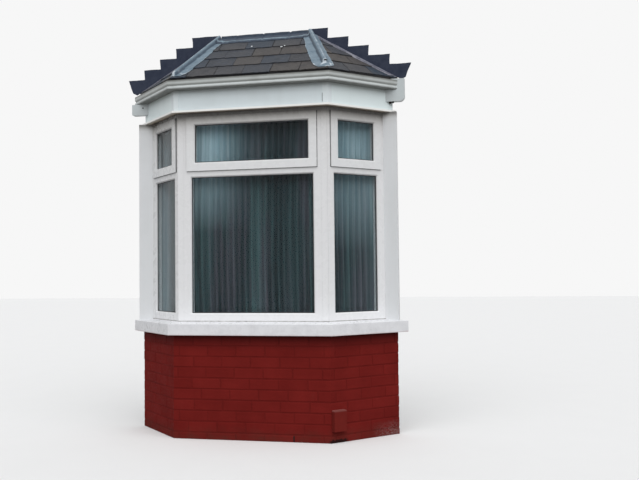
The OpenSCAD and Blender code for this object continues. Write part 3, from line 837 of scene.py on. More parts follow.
# %% Paint the CAD nodes that keep their shape
FINISHES = {
    "frame_": window_white, "corner_post": window_white, "curtain_track": window_white,
    "top_sash": sash_white, "glazing": sash_white, "jamb": jamb_white, "soffit": soffit_white,
    "fascia": side_eaves_white, "fascia_front": eaves_white, "fascia_corners": cover_white,
    "eaves_block": block_white, "gutter": gutter_grey, "window_board": room_white,
    "ceiling": ceiling_white, "wall_box": box_paint}
for start, made in FINISHES.items():
    for name, piece in nodes.items():
        if name.startswith(start):
            coat(piece, made)
print("painted as they are:", sum(name.startswith(tuple(FINISHES)) for name in nodes))

# %% [markdown]
# ## Glass
#
# Sealed panes look dark from the street because the room behind is dark: the glass itself is
# clear with a faint green-grey body. It mirrors less than real glass would, because a street of
# dark brick gives a pane little to mirror and the pale studio here gives it a lot. It is
# perfectly smooth, and its film of dirt is only a slight change of colour.

# %% Glass
glass = finish("sealed_glass", (0.47, 0.52, 0.535), 0.0, IOR=1.22, Transmission_Weight=1.0,
               Specular_IOR_Level=0.16)
film = cloud(where((1, 1, 0.3)), 4, 3)
paint(blend(window(film, 0.3, 0.7), (0.455, 0.51, 0.525), (0.485, 0.53, 0.545)))
for name in SIDE_NAMES.values():
    coat(nodes["glass_" + name], glass)
    nodes["glass_" + name].visible_shadow = False
print("panes glazed")

# %% [markdown]
# ## Gaskets
#
# A black gasket shows as a thin line round every pane, tucked under the lip that holds the
# glass. It is a little wider than the rubber would show, so its black also stands for the painted
# shade along the edge of the pane. A curve could be swept along it, but its corners would come
# out round. So each gasket is a plane, inset to leave a ring, with its middle removed and its ring
# thickened. The numbers repeat the section of the frames.

# %% Where the windows are
FRAME_SET, FRAME_W, LIP, LIP_T = 0.045, 0.042, 0.016, 0.018
FRAME_Z, FRAME_H, TRANSOM_AT, TRANSOM_W = 0.814, 1.483, 1.059, 0.042
SASH_PROUD, SASH_LAP, SASH_W = 0.012, 0.014, 0.060
TRANSOM_LOW, TRANSOM_HIGH = (FRAME_Z + TRANSOM_AT + s * TRANSOM_W / 2 for s in (-1, 1))
HEAD_Z = FRAME_Z + FRAME_H - FRAME_W
# Where each window starts and ends along its run
WINDOWS = {-1: (0.01914, 0.50164), 0: (-0.50343, 0.50343), 1: (0.01914, 0.50164)}
print("transom from", round(TRANSOM_LOW, 4), "to", round(TRANSOM_HIGH, 4))


# %% Gaskets
GASKET_W, GASKET_T, GASKET_IN = 0.0055, 0.0034, 0.0035


def ring(name, x0, x1, z0, z1, y, wide, deep):
    """A flat ring in the x-z plane with its front at y, wide inwards and deep backwards."""
    bpy.ops.mesh.primitive_plane_add(size=1, rotation=ACROSS_Y)
    made = bpy.context.object
    made.name = name
    bpy.ops.object.transform_apply()
    made.data.transform(Matrix.Translation(((x0 + x1) / 2, y, (z0 + z1) / 2))
                        @ Matrix.Diagonal((x1 - x0, 1, z1 - z0, 1)))
    edit(made, lambda: bpy.ops.mesh.inset(thickness=wide),
         lambda: bpy.ops.mesh.delete(type="FACE"))
    return applied(made, "SOLIDIFY", thickness=deep, offset=-1)


# Black rubber; in these rings it also stands for painted shade.
black_rubber_and_shade = finish("gasket_rubber_and_shade", (0.012, 0.013, 0.014), 0.5)
paint(blend(cloud(where(), 60, 3), (0.010, 0.011, 0.012), (0.03, 0.032, 0.034)))
fixed = FRAME_W + LIP
sash = FRAME_W - SASH_LAP + SASH_W
for side, (start, end) in WINDOWS.items():
    low = ring("low", start + fixed, end - fixed, FRAME_Z + fixed, TRANSOM_LOW - LIP,
               FRAME_SET + LIP_T - GASKET_IN, GASKET_W, GASKET_T)
    top = ring("top", start + sash, end - sash, TRANSOM_HIGH + SASH_W - SASH_LAP,
               HEAD_Z - SASH_W + SASH_LAP, FRAME_SET - SASH_PROUD + LIP_T - GASKET_IN,
               GASKET_W, GASKET_T)
    gaskets = joined([low, top], "gaskets_" + SIDE_NAMES[side])
    finished(placed(gaskets, run_matrix(side)), "white_plastic", black_rubber_and_shade)

# %% [markdown]
# ## Seals round the sashes
#
# Each top light closes against a soft black seal, which shows in the shadow gap round its leaf.
# The black ring also fills that gap as painted shade, so it is widest beside the left post, where
# that window looks a little pulled open. The same ring does for it, set just in front of the frame.

# %% Seals round the sashes
# The seal's black also stands for the painted shade in the gap round the leaf.
SEAL_W = {-1: 0.0095, 0: 0.0014, 1: 0.0034}
leaf = FRAME_W - SASH_LAP
for side, (start, end) in WINDOWS.items():
    seal = ring("seals_" + SIDE_NAMES[side], start + leaf - SEAL_W[side], end - leaf + 0.0022,
                TRANSOM_HIGH - SASH_LAP - 0.0024, HEAD_Z + SASH_LAP + 0.0022,
                FRAME_SET - 0.0012, 0.0125, 0.0011)
    finished(placed(seal, run_matrix(side)), "white_plastic", black_rubber_and_shade)

# %% [markdown]
# ## Sealant
#
# A bead of sealant was run along the foot of the frames, and has gone grey. It is a thin bar on
# each side of the bay, mitred at the corners.

# %% Sealant along the foot of the frames
sealant = finish("old_sealant", (0.36, 0.35, 0.34), 0.6)
paint(blend(window(cloud(where(), 30, 5), 0.35, 0.65), (0.20, 0.19, 0.185), (0.46, 0.455, 0.445)))
beads = []
for side in SIDE_NAMES:
    bead = block("foot_bead", (1.6, 0.008, 0.0045))
    bead.data.transform(Matrix.Translation((0, FRAME_SET + 0.0015, FRAME_Z + 0.0018)))
    beads.append(mitred(placed(bead, run_matrix(side)), side))
finished(joined(beads, "foot_sealant"), "white_plastic", sealant)

# %% [markdown]
# ## Net curtains
#
# A net is a long flat cloth gathered on a tape, so it hangs in soft folds that are tight at the
# top and open out lower down. A cloth simulation could hang it, but gathered folds are so
# regular that a few waves make them sooner, and the same each time. Here a fine grid is pushed
# in and out along its run by a few waves that wander with height. At the wall the two side nets
# turn back to their window, as they do where a track ends short of the wall. The measured
# length across the folds gives the width of the flat cloth, which is what a maker would cut.
# The cloth is seen in a dark room, so it is painted as dark as it looks, with painted shade in
# the hollows of its folds, and painted light makes it paler where open sky falls on it.

# %% Net finish
net_cloth = finish("net_cloth", (0.60, 0.64, 0.62), 0.9, Sheen_Weight=0.02,
                   Specular_IOR_Level=0.02)
weave = cloud(where((1, 1, 0.02)), 90, 4)
lit = blend(window(weave, 0.3, 0.7), (0.56, 0.74, 0.81), (0.74, 0.87, 0.91))
# Painted shade in the hollows of the folds, and painted light where the day mark is high.
folded = plus(read("fold"), window(weave, 0.2, 0.8, -0.25, 0.25))
hue = cloud(where((1, 1, 0.1)), 9, 3)
shade = blend(window(hue, 0.42, 0.58), (0.092, 0.155, 0.160), (0.150, 0.137, 0.165))
deep = blend(window(folded, 0.15, 0.95), (0.018, 0.034, 0.040), shade)
open_folds = blend(window(folded, 0.0, 0.8), (0.30, 0.46, 0.52), lit)
paint(blend(read("day"), deep, open_folds))
relief(weave, 0.002, 0.4)
print("net finish ready")

# %% Daylight on the nets
NET_IN, NET_DEEP = 0.135, 0.030
NET_FOOT, NET_TOP = 0.826, 2.2687
FOLDS_A_METRE = 21
RETURN = 0.068
THREADS_A_METRE, NET_ROWS = 400, 46


def kept(value):
    """Keeps a value between 0 and 1."""
    return min(1.0, max(0.0, value))


def daylight(side, x, z):
    """How much open sky the cloth sees, 0 to 1: most of it high up and at the ends."""
    if side == 0:
        return 0.95 * kept((z - 1.45) / 0.65) * kept((0.02 - x) / 0.30) ** 1.4
    if side > 0:
        return 0.03 + 0.85 * kept((z - 1.30) / 0.85)
    return 0.36 * kept((x - 0.36) / 0.06) + 0.02


# %% One net
def hung_net(side, start, end, seed):
    straight, tall = end - start, NET_TOP - NET_FOOT
    wide = straight + (RETURN if side else 0)
    bpy.ops.mesh.primitive_grid_add(x_subdivisions=int(wide * THREADS_A_METRE),
                                    y_subdivisions=NET_ROWS, size=1, rotation=ACROSS_Y)
    net = bpy.context.object
    bpy.ops.object.transform_apply()
    flat, last, folds, days = 0, None, [], []
    for point in net.data.vertices:
        u, v = point.co.x + 0.5, point.co.z + 0.5
        x = u * wide
        wander = ripple(x * 3, v * 1.4, seed) * 1.3 + ripple(x * 9, v * 0.5, seed + 9) * 0.7
        turn = x * FOLDS_A_METRE * 2 * math.pi + wander * 2.2
        tight = 1 - 0.35 * max(0, v - 0.93) / 0.07
        swell = 0.62 + 0.38 * ripple(x * 6, v * 0.8, seed + 4)
        wave = (math.sin(turn) + 0.22 * math.sin(2 * turn + 1.1)) / 1.22
        past = max(0.0, x - straight + 0.012)
        swing = NET_DEEP * 0.47 * wave * swell * tight * max(0.12, 1 - past / 0.03)
        point.co = Vector((start + x - past * 0.16,
                           NET_IN + NET_DEEP / 2 + swing - past * 0.52, NET_FOOT + v * tall))
        folds.append(0.5 - 0.36 * wave * swell + 0.75 * ripple(x * 7, v * 0.35, seed + 31))
        days.append(daylight(side, start + x, point.co.z))
        if abs(v - 0.4) < 0.5 / NET_ROWS:
            if last is not None:
                flat += (point.co - last).length
            last = point.co.copy()
    marked(net, fold=folds, day=days)
    bpy.ops.object.shade_smooth()
    net.name = "net_curtain_" + SIDE_NAMES[side]
    placed(net, run_matrix(side))
    finished(net, "net", net_cloth, stands_for=("net_" + SIDE_NAMES[side],))
    print(net.name, "cut width", round(flat, 3), "for a run of", round(wide, 3))


# %% The three nets
net_back = NET_IN + NET_DEEP
net_half = front_half(-net_back) - NET_DEEP / 2
net_start = net_back * math.tan(TURN / 2) + NET_DEEP / 2
net_end = (DEPTH - net_back * math.cos(TURN)) / math.sin(TURN) - NET_DEEP / 3
hung_net(-1, net_start, net_end, 3)
hung_net(0, -net_half, net_half, 11)
hung_net(1, net_start, net_end, 20)

# %% [markdown]
# ## Slates
#
# The roof has natural slates, about 205 mm wide, in level courses. Each is split by hand, so
# its face is riven, its tail is chipped and its colour is its own. A number on each slate's
# points picks that colour from a ramp. Grain, stains and a little lichen lie over it, and
# towards the top of the roof the slates are bluer, where they are washed from the lead.

# %% Slate finish
slate_face = finish("riven_slate", (0.06, 0.06, 0.065), 0.6, Specular_IOR_Level=0.3)
at = where()
own = colours(read("tint"), (0.0, (0.020, 0.032, 0.050)), (0.25, (0.030, 0.035, 0.046)),
              (0.5, (0.044, 0.043, 0.046)), (0.75, (0.053, 0.046, 0.042)),
              (1.0, (0.026, 0.029, 0.037)))
splits = cloud(where((1, 1, 2.2)), 26, 6, 0.65, 0.6)
tone = blend(window(splits, 0.45, 0.75, 0, 0.65), own, (0.098, 0.095, 0.094))
lichen = times(window(cells(at, 90), 0.22, 0.06), window(cloud(at, 7, 4), 0.46, 0.6))
tone = blend(times(lichen, 0.5), tone, (0.17, 0.165, 0.15))
stains = window(cloud(at, 9, 5, 0.6), 0.5, 0.78, 0, 0.7)
tone = blend(stains, tone, (0.020, 0.022, 0.027))
near_top = window(part_of(at, "Z"), 2.74, 2.90, 0, 0.5)
paint(blend(near_top, tone, (0.026, 0.036, 0.052)))
roughness(window(splits, 0.3, 0.7, 0.42, 0.72))
relief(plus(splits, times(cloud(at, 130, 5, 0.7), 0.35)), 0.0035, 1.0)

slate_bed = finish("slate_bed", (0.018, 0.018, 0.020), 0.9)
paint(blend(cloud(where(), 30, 4), (0.012, 0.012, 0.014), (0.032, 0.031, 0.031)))
for name in SIDE_NAMES.values():
    coat(nodes["slates_" + name], slate_bed)
print("slate finishes ready")

# %% [markdown]
# ## Splitting the slates
#
# One slate is modelled a few times over from a thin block, with fine cuts that let its edges
# wander and its tail break away in chips. Copies of these few are enough for a whole roof.

# %% The slopes
COURSES = 5
SLATE_W = 0.205
SLATE_T = 0.0075
SLATE_GAP = 0.0045
STEP = 0.007
LAP = 0.035
FRONT_RUN = DEPTH + EAVE_OUT
CANT_RUN = (front_half(EAVE_OUT) - HIP_X) * math.sin(TURN) + FRONT_RUN * math.cos(TURN)


def slope_of(side):
    """The tilt of a slope and the gauge of its courses."""
    run = FRONT_RUN if side == 0 else CANT_RUN
    return math.atan2(ROOF_RISE, run), math.hypot(ROOF_RISE, run) / (COURSES - 0.5)


def slope_matrix(side):
    """Local x along the eaves, y up the slope, z square to it."""
    return (run_matrix(side) @ Matrix.Translation((0, -EAVE_OUT, SLATE_Z))
            @ Matrix.Rotation(slope_of(side)[0], 4, "X"))


for side, name in SIDE_NAMES.items():
    print(name, "slope at", round(math.degrees(slope_of(side)[0]), 1), "degrees")


# %% Slate patterns
def split_slate(seed, long):
    slate = block(f"slate_{seed}", (1, 1, SLATE_T))
    edit(slate, cut_finer(17))
    slate.data.transform(Matrix.Diagonal((SLATE_W - SLATE_GAP, long, 1, 1)))
    for point in slate.data.vertices:
        co = point.co
        rough_edge = noise.noise_vector(Vector((co.x * 28, co.y * 28, seed * 5.0)))
        chips = max(0.0, ripple(co.x * 85, seed * 2.0, 4.0) - 0.12)
        tail = max(0.0, 1 - (co.y + long / 2) / 0.02)
        side_edge = max(0.0, abs(co.x) - SLATE_W * 0.40) / (SLATE_W * 0.1)
        co.y += (rough_edge.y * 0.0065 + chips * 0.011) * tail
        co.x += rough_edge.x * 0.0016 * side_edge
        co.z += ripple(co.x * 16, co.y * 16, seed * 3.3) * 0.0011
    return slate


random.seed(11)
slate_patterns = [split_slate(seed, slope_of(0)[1] + LAP) for seed in range(7)]
print("slate patterns:", len(slate_patterns))

# %% [markdown]
# ## Laying the slates
#
# An array would repeat one slate in dead straight rows. A loop lets every slate differ, so
# copies are laid from the eaves up, each tilted by the thickness of the one below, with joints
# where the photo's are. Each is a few millimetres and a fraction of a degree out, as on any old
# roof. Then the slope is trimmed at the hips and at the house wall.

# %% Slates laid
# Distance of one joint from the middle (front) or from the corner (sides), course by course
FRONT_SLATE_JOINTS = (-0.043, 0.066, -0.026, 0.102, 0.0)
SIDE_SLATE_JOINTS = (0.17, 0.07, 0.16, 0.05, 0.15)


def laid_slates(side):
    tilt, gauge = slope_of(side)
    lean = math.atan2(STEP * math.cos(tilt), gauge)
    half_run = front_half(EAVE_OUT)
    first, last = (-half_run, half_run) if side == 0 else (-0.25, DEPTH / math.sin(TURN) + 0.02)
    slates = []
    for course in range(COURSES):
        wave = random.uniform(0, 6)
        joint = (FRONT_SLATE_JOINTS if side == 0 else SIDE_SLATE_JOINTS)[course]
        for x in along_course(joint, first, last, SLATE_W):
            slate = copied(random.choice(slate_patterns), "laid_slate")
            bluer = 0.35 if side <= 0 and x < -0.1 or course > 3 else 0.0
            own = random.random() * (1 - bluer)
            marked(slate, tint=[own] * len(slate.data.vertices))
            sag = 0.0025 * math.sin(x * 5 + wave) - 0.004
            slate.data.transform(
                Matrix.Translation((x + random.uniform(-0.003, 0.003),
                                    course * gauge + sag + random.uniform(-0.004, 0.003),
                                    STEP * math.cos(tilt) + random.uniform(-0.0004, 0.0012)))
                @ Matrix.Rotation(-lean + random.uniform(-0.004, 0.004), 4, "X")
                @ Matrix.Rotation(random.uniform(-0.014, 0.014), 4, "Z")
                @ Matrix.Translation((0, (gauge + LAP) / 2, -SLATE_T / 2 + 0.0028)))
            slates.append(slate)
    slope = placed(joined(slates, "laid_slates_" + SIDE_NAMES[side]), slope_matrix(side))
    trimmed_at(slope, side, hip_line)
    short_of_wall(slope, 0.0005)
    return finished(slope, "slate", slate_face)


slopes = {side: laid_slates(side) for side in SIDE_NAMES}
for slate in slate_patterns:
    bpy.data.objects.remove(slate)

# %% [markdown]
# ## Lead
#
# Weather leaves lead pale on its worn edges and scuffs. Each sheet carries a number that is
# highest along its edges and over the roll, where the crest gets a painted highlight, and another
# for the hollows beside the roll, which are painted dark as shade. The stepped flashings are older
# and nearly black, with a pale turned edge.

# %% A recipe for old lead
def old_lead(name, dark, pale, bright):
    made = finish(name, dark, 0.5, Specular_IOR_Level=0.35)
    at = where()
    mottled = cloud(at, 24, 6, 0.7, 0.4)
    tone = blend(window(mottled, 0.32, 0.72), dark, pale)
    # Real wear on the edges, a painted highlight on the roll's crest, painted shade in the hollows.
    wear_and_highlight = plus(read("wear_and_highlight"), window(mottled, 0.3, 0.7, -0.25, 0.25))
    tone = blend(window(wear_and_highlight, 0.35, 1.0, 0, 0.9), tone, bright)
    shade_in_hollow = (dark[0] * 0.22, dark[1] * 0.25, dark[2] * 0.32)
    paint(blend(window(read("hollow_shade"), 0.1, 1.0, 0, 0.85), tone, shade_in_hollow))
    roughness(window(mottled, 0.3, 0.7, 0.38, 0.6))
    relief(plus(cloud(at, 45, 5), cells(at, 60)), 0.002, 0.6)
    return made


# %% The lead finishes
hip_lead = old_lead("hip_lead", (0.095, 0.140, 0.180), (0.19, 0.25, 0.30), (0.55, 0.60, 0.64))
apron_lead = old_lead(
    "apron_lead", (0.022, 0.032, 0.052), (0.050, 0.070, 0.100), (0.20, 0.27, 0.32))
rake_lead = old_lead(
    "rake_lead", (0.085, 0.086, 0.112), (0.155, 0.156, 0.190), (0.30, 0.30, 0.34))
tingle_lead = old_lead(
    "tingle_lead", (0.50, 0.53, 0.55), (0.62, 0.64, 0.66), (0.75, 0.76, 0.78))

step_lead = finish("step_lead", (0.026, 0.034, 0.058), 0.55, Specular_IOR_Level=0.2)
at = where()
soft = cloud(at, 20, 5, 0.65)
tone = blend(window(soft, 0.3, 0.75), (0.018, 0.024, 0.044), (0.036, 0.044, 0.068))
turned_edge = window(part_of(at, "Y"), WALL_Y - 0.004, WALL_Y - 0.008)
pale_edge = blend(soft, (0.13, 0.135, 0.17), (0.26, 0.265, 0.31))
paint(blend(turned_edge, tone, pale_edge))
relief(soft, 0.003, 0.6)
print("lead finishes ready")

# %% [markdown]
# ## Stepped flashings
#
# One step of lead goes into each brick course of the house wall. The CAD pieces have the steps
# in their right places, so new sheets aren't needed. Copies are cut finely and their points are
# moved a little in the plane of the wall, so the edges look dressed by hand.

# %% Stepped flashings
def dressed_steps(name, seed):
    made = merged(copied(nodes["stepped_flashing_" + name], "dressed_steps_" + name))
    edit(made, lambda: bpy.ops.mesh.quads_convert_to_tris(), cut_finer(7))
    for point in made.data.vertices:
        shift = noise.noise_vector(point.co * 13 + Vector((seed, 0, 0)))
        fine = noise.noise_vector(point.co * 40 + Vector((seed, 9, 0)))
        point.co.x += shift.x * 0.0040 + fine.x * 0.0012
        point.co.z += shift.z * 0.0022 + fine.z * 0.0010
    return finished(made, "lead_dark", step_lead, stands_for=("stepped_flashing_" + name,))


dressed_steps("left", 4.0)
dressed_steps("right", 9.0)

# %% [markdown]
# ## Dressing lead
#
# Lead is beaten down over what it covers, so it shows the steps of the slates under it. That is
# just what Shrinkwrap does: a fine grid held over the roof is dropped straight down onto
# slates, hip roll and boards, smoothed a little, and then given its thickness. The hip roll is
# a round bar, and a flat board in each slope's plane carries the lead past the eaves.

# %% The line of a hip
ROLL_R = 0.020
LEAD_T = 0.0025
HELD_Z = RIDGE_Z + 0.3
hip_head, hip_foot = hip_line(1)
hip_plan = (hip_foot - hip_head).length
hip_length = math.hypot(hip_plan, ROOF_RISE)
hip_turn = Matrix.Rotation(math.atan2(hip_foot.x - HIP_X, FRONT_RUN), 4, "Z")
hip_tilt = Matrix.Rotation(math.atan2(ROOF_RISE, hip_plan), 4, "X")
# Local -y runs down the right hip from its head
along_hip = Matrix.Translation((HIP_X, WALL_Y, RIDGE_Z + 0.006)) @ hip_turn @ hip_tilt
print("hip is", round(hip_length, 3), "m long")


# %% What the lead is dressed over
def hip_roll(side, start, end):
    """A round bar along a hip, from start to end as shares of the way down."""
    made = rod("hip_roll", ROLL_R, 1, 32)
    made.data.transform(along_hip @ Matrix.Translation((0, -hip_length * (start + end) / 2, 0))
                        @ Matrix.Diagonal((1, hip_length * (end - start), 1, 1)))
    return on_side(made, side)


def slope_board(side):
    """A flat sheet in a slope's plane, between the hips, that runs on past the eaves."""
    bpy.ops.mesh.primitive_plane_add(size=1)
    made = bpy.context.object
    made.data.transform(Matrix.Translation((0 if side == 0 else 0.25, 0.31, 0.0035))
                        @ Matrix.Diagonal((2.2, 0.78, 1, 1)))
    return trimmed_at(placed(made, slope_matrix(side)), side, hip_line, fill=False)


def slate_beds(*sides):
    return [copied(nodes["slates_" + SIDE_NAMES[side]], "under") for side in sides]


# %% Drop a sheet and give it thickness
def dropped_sheet(under, across, down, shape, place, side=1, settle=2):
    """A grid whose points get their place and marks from shape, dropped onto what is under it."""
    target = joined(under, "under_the_lead")
    bpy.ops.mesh.primitive_grid_add(x_subdivisions=across, y_subdivisions=down, size=1)
    sheet = bpy.context.object
    marks = {}
    for point in sheet.data.vertices:
        point.co, own = shape(point.co.x, point.co.y)
        for name, value in own.items():
            marks.setdefault(name, []).append(value)
    marked(sheet, **marks)
    sheet.data.transform(place)
    on_side(sheet, side)
    applied(sheet, "SHRINKWRAP", target=target, wrap_method="PROJECT", use_project_z=True,
            use_negative_direction=True, use_positive_direction=False, offset=0.0012)
    applied(sheet, "SMOOTH", factor=0.5, iterations=settle)
    bpy.data.objects.remove(target)
    return sheet


def made_thick(sheet, thickness):
    applied(sheet, "SOLIDIFY", thickness=thickness, offset=1)
    only(sheet)
    bpy.ops.object.shade_smooth_by_angle(angle=math.radians(50))

# %% [markdown]
# ## Hip leads
#
# A hip has a wing of lead on each slope, and between them the sheet rises over a round timber
# roll. The wings narrow to a rounded foot at the eaves, with a ragged edge. The outline is a
# short table of widths measured down the hip, one for each wing.

# %% How wide the wings are
# Width of a wing at a distance down the hip in plan, on the front slope and on the side slope
FRONT_WING = ((0, 0.056), (0.19, 0.080), (0.34, 0.084), (0.402, 0.081), (0.442, 0.060),
              (0.459, 0.024), (0.466, 0.012))
SIDE_WING = ((0, 0.046), (0.34, 0.054), (0.387, 0.062), (0.429, 0.057), (0.452, 0.030),
             (0.466, 0.010))
WING_LONG = FRONT_WING[-1][0]


def width_at(table, down):
    for (d0, w0), (d1, w1) in zip(table, table[1:]):
        if down <= d1:
            return w0 + (w1 - w0) * (down - d0) / (d1 - d0)
    return table[-1][1]


# %% Dress the hips
def hip_sheet(side, roll_end, seed):
    def shape(x, y):
        u, down = x * 2, (0.5 - y) * WING_LONG
        ragged = 1 + 0.06 * ripple(down * 16, u, seed) + 0.05 * ripple(down * 50, u, seed)
        wide = width_at(FRONT_WING if u < 0 else SIDE_WING, down) * ragged
        off = abs(u * wide)
        on_roll = down < roll_end * hip_plan + 0.008
        # A painted highlight along the roll's crest, and painted shade in the hollows beside it.
        crest_highlight = 0.62 * max(0.0, 1 - off / 0.008) if on_roll else 0.0
        scuff = max(0.0, ripple(down * 30, u * wide * 45, seed + 3))
        scuff = min(1.0, scuff * (1.6 if down > 0.37 else 0.5))
        rim = max(0.0, 1 - (wide - off) / 0.010)
        rim *= 0.55 + 0.6 * ripple(down * 25, u, seed + 8)
        foot = max(0.0, 1 - (WING_LONG - down) / 0.016)
        hollow_shade = max(0.0, 1 - abs(off - 0.021) / 0.011) if on_roll else 0.0
        wear_and_highlight = max(crest_highlight, rim, scuff, foot)
        return Vector((u * wide, -down, 0)), {"wear_and_highlight": wear_and_highlight, "hollow_shade": hollow_shade}

    under = [copied(slope, "under") for slope in slopes.values()] + slate_beds(-1, 0, 1)
    under += [slope_board(0), slope_board(side), hip_roll(side, -0.1, roll_end)]
    place = Matrix.Translation((HIP_X, WALL_Y, HELD_Z)) @ hip_turn
    sheet = dropped_sheet(under, 56, 150, shape, place, side, settle=3)
    short_of_wall(sheet, 0.001, fill=False)
    applied(sheet, "SOLIDIFY", thickness=LEAD_T, offset=1)
    only(sheet)
    bpy.ops.object.shade_smooth()
    name = SIDE_NAMES[side]
    sheet.name = "dressed_hip_" + name
    return finished(sheet, "lead_bright", hip_lead, stands_for=("hip_lead_" + name,))


hips = [hip_sheet(-1, 0.93, 2.0), hip_sheet(1, 0.84, 5.0)]

# %% [markdown]
# ## Apron
#
# Along the top, one sheet covers the heads of the slates and both hip leads, and turns up
# against the house wall. It is dropped like the hips, and then its back edge is extruded up.

# %% Apron
APRON_W = 0.062
APRON_TOP = RIDGE_Z + 0.031


def apron_shape(x, y):
    v = 0.5 - y
    x *= 2 * (HIP_X - 0.019 + APRON_W * v * (hip_foot.x - HIP_X) / FRONT_RUN)
    edge = APRON_W + 0.0045 * ripple(x * 11, 0.5, 3) + 0.003 * ripple(x * 40, 1.5, 3)
    streak = max(0.0, 1 - abs(v - 0.70 - 0.10 * ripple(x * 6, 4.5, 3)) / 0.22)
    return Vector((x, -0.002 - v * edge, 0)), {"wear_and_highlight": streak * (0.9 + 0.5 * ripple(x * 9, 2.5, 3))}


under = [copied(piece, "under") for piece in (*slopes.values(), *hips)] + slate_beds(-1, 0, 1)
apron = dropped_sheet(under, 170, 18, apron_shape, Matrix.Translation((0, WALL_Y, HELD_Z)))
back = max(point.co.y for point in apron.data.vertices)
only(apron)
bpy.ops.object.mode_set(mode="EDIT")
bpy.ops.mesh.select_mode(type="EDGE")
bpy.ops.mesh.select_all(action="DESELECT")
bpy.ops.object.mode_set(mode="OBJECT")
for line in apron.data.edges:
    line.select = all(apron.data.vertices[i].co.y > back - 0.0008 for i in line.vertices)
bpy.ops.object.mode_set(mode="EDIT")
rise = APRON_TOP - RIDGE_Z - 0.012
bpy.ops.mesh.extrude_region_move(TRANSFORM_OT_translate={"value": (0, 0.0004, rise)})
bpy.ops.object.mode_set(mode="OBJECT")
for point in apron.data.vertices:
    point.co.z = min(point.co.z, APRON_TOP - 0.0005)
made_thick(apron, 0.002)
apron.name = "dressed_apron"
finished(apron, "lead_dark", apron_lead, stands_for=("apron_flashing",))

# %% [markdown]
# ## Rakes
#
# The foot of each stepped flashing is turned out over the slates, as a pale strip that gets
# wider towards the eaves. Its low end follows the line of the eaves, so it has slates under it
# everywhere.

# %% Rakes
RAKE_W = 0.044
rake_long = front_half(EAVE_OUT) - HIP_X + FRONT_RUN / math.tan(TURN) - 0.040


def rake_sheet(side, seed):
    def shape(x, y):
        u, v = x + 0.5, 0.5 - y
        down = u * rake_long
        edge = (RAKE_W * (0.78 + 0.30 * u) + 0.004 * ripple(down * 13, 2, seed)
                + 0.002 * ripple(down * 45, 3, seed))
        down -= u * v * edge / math.tan(TURN)
        wear_and_highlight = (0.25 + 0.9 * max(0.0, ripple(down * 9, v * 2, seed + 2))
                + 0.5 * max(0.0, (v - 0.75) / 0.25))
        return Vector((HIP_X + 0.032 + down, WALL_Y - 0.0035 - v * edge, HELD_Z)), {"wear_and_highlight": wear_and_highlight}

    under = [copied(slopes[side], "under")] + slate_beds(side)
    sheet = dropped_sheet(under, 150, 8, shape, Matrix.Identity(4), side)
    made_thick(sheet, LEAD_T)
    sheet.name = "dressed_rake_" + SIDE_NAMES[side]
    return finished(sheet, "lead_dark", rake_lead)


rake_sheet(-1, 3.0)
rake_sheet(1, 6.0)

# %% [markdown]
# ## Tingles
#
# Slipped slates are held by tingles, short strips of lead turned up over the tail. They catch
# the light as small bright marks, too few and too plain for more than a bevelled block each.

# %% Tingles
tingles = []
for x, up_slope, wide in ((-0.0586, 0.402, 0.011), (0.1749, 0.362, 0.016), (0.196, 0.377, 0.008)):
    tingle = block("tingle", (wide, 0.013, 0.0022))
    edit(tingle, bevelled(0.0007, 2), cut_finer(1))
    shaken(tingle, 0.0008, 90, wide * 900)
    lying = slope_matrix(0) @ Matrix.Translation((x, up_slope, 0.0088))
    tingles.append(placed(tingle, lying))
finished(joined(tingles, "slate_tingles"), "lead_bright", tingle_lead)

# %% [markdown]
# ## Small dark things
#
# The cover strip at the right corner has lifted a little, so the shade under its edge shows as a
# dark line over its lower half; a thin black bar is that painted shade. The right hip roll is
# open at its lower end, and a black disc is the painted shade inside it. A screw head shows in the
# left block, and under the right block are two stubs of old sealant. All are small and dark, so a
# thin bar, a disc and plain spheres do.

# %% Seam, roll end, screw and stubs
# A black bar for the painted shade under the lifted edge.
seam_line = block("cover_seam", (0.0030, 0.0012, 0.060))
edit(seam_line, bevelled(0.0003, 1))
seam_x = front_half(-0.012) - 0.0355
placed(seam_line, run_matrix(0) @ Matrix.Translation((seam_x, 0.0096, 2.352)))
finished(seam_line, "eaves_board", black_and_shade)

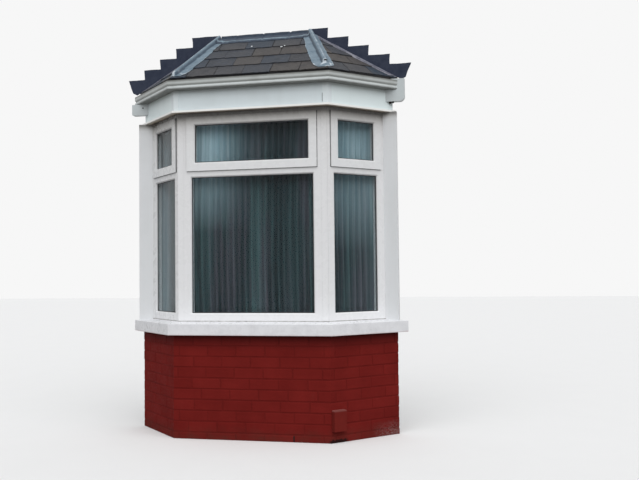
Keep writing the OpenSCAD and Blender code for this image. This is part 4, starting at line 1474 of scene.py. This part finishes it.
# A black disc for the painted shade inside the open end of the roll.
roll_mouth = shaken(rod("roll_mouth", 0.0125, 0.004, 24), 0.0015, 90, 12)
placed(roll_mouth, along_hip @ Matrix.Translation((0, -hip_length * 0.845 - 0.0035, 0.008)))
finished(roll_mouth, "lead_bright", black_and_shade)


def lump(name, radius, amount, grain, seed, place):
    bpy.ops.mesh.primitive_uv_sphere_add(segments=16, ring_count=10, radius=radius)
    bpy.context.object.name = name
    return placed(shaken(bpy.context.object, amount, grain, seed), place)


screw = lump("block_screw", 0.0055, 0.0008, 200, 4,
             Matrix.Translation((-0.958, WALL_Y - 0.0462, 2.425)))
finished(screw, "eaves_board", black_and_shade)
taller = Matrix.Diagonal((1, 1, 1.15, 1))
stubs = [lump("stub", size, 0.0022, 120, 2 + x * 90,
              Matrix.Translation((0.945 + x, WALL_Y - 0.030, 2.366 + z)) @ taller)
         for x, z, size in ((0.0, 0.0, 0.010), (0.020, 0.001, 0.008))]
finished(joined(stubs, "sealant_stubs"), "eaves_board", black_and_shade)

# %% [markdown]
# ## Timber and the hidden sides
#
# Behind the fascia and under the slates is ordinary carpentry, and inside the wall a concrete
# floor. They show from the house side only, so they are plain sawn softwood and floated
# concrete. The grain is a noise stretched a long way down the piece.

# %% Timber and floor
timber = finish("sawn_softwood", (0.55, 0.38, 0.22), 0.75)
grain = cloud(where((1, 1, 0.35)), 70, 6, 0.6, 0.5)
rings = cloud(where((0.12, 1, 1)), 34, 3)
tone = blend(window(grain, 0.3, 0.7), (0.46, 0.30, 0.165), (0.62, 0.45, 0.27))
paint(blend(window(rings, 0.5, 0.8, 0, 0.5), tone, (0.34, 0.21, 0.11)))
relief(grain, 0.0008)
for name in ("rafters", "roof_boards", "head_plate"):
    coat(nodes[name], timber)

concrete = finish("floated_concrete", (0.42, 0.41, 0.385), 0.9)
sand = cloud(where(), 14, 7, 0.7)
paint(blend(sand, (0.34, 0.33, 0.31), (0.50, 0.49, 0.46)))
relief(sand, 0.002, 0.5)
coat(nodes["floor"], concrete)
print("timber and floor painted")

# %% [markdown]
# ## The last step
#
# It clears the selection.

# %% Clear the selection
bpy.ops.object.select_all(action="DESELECT")
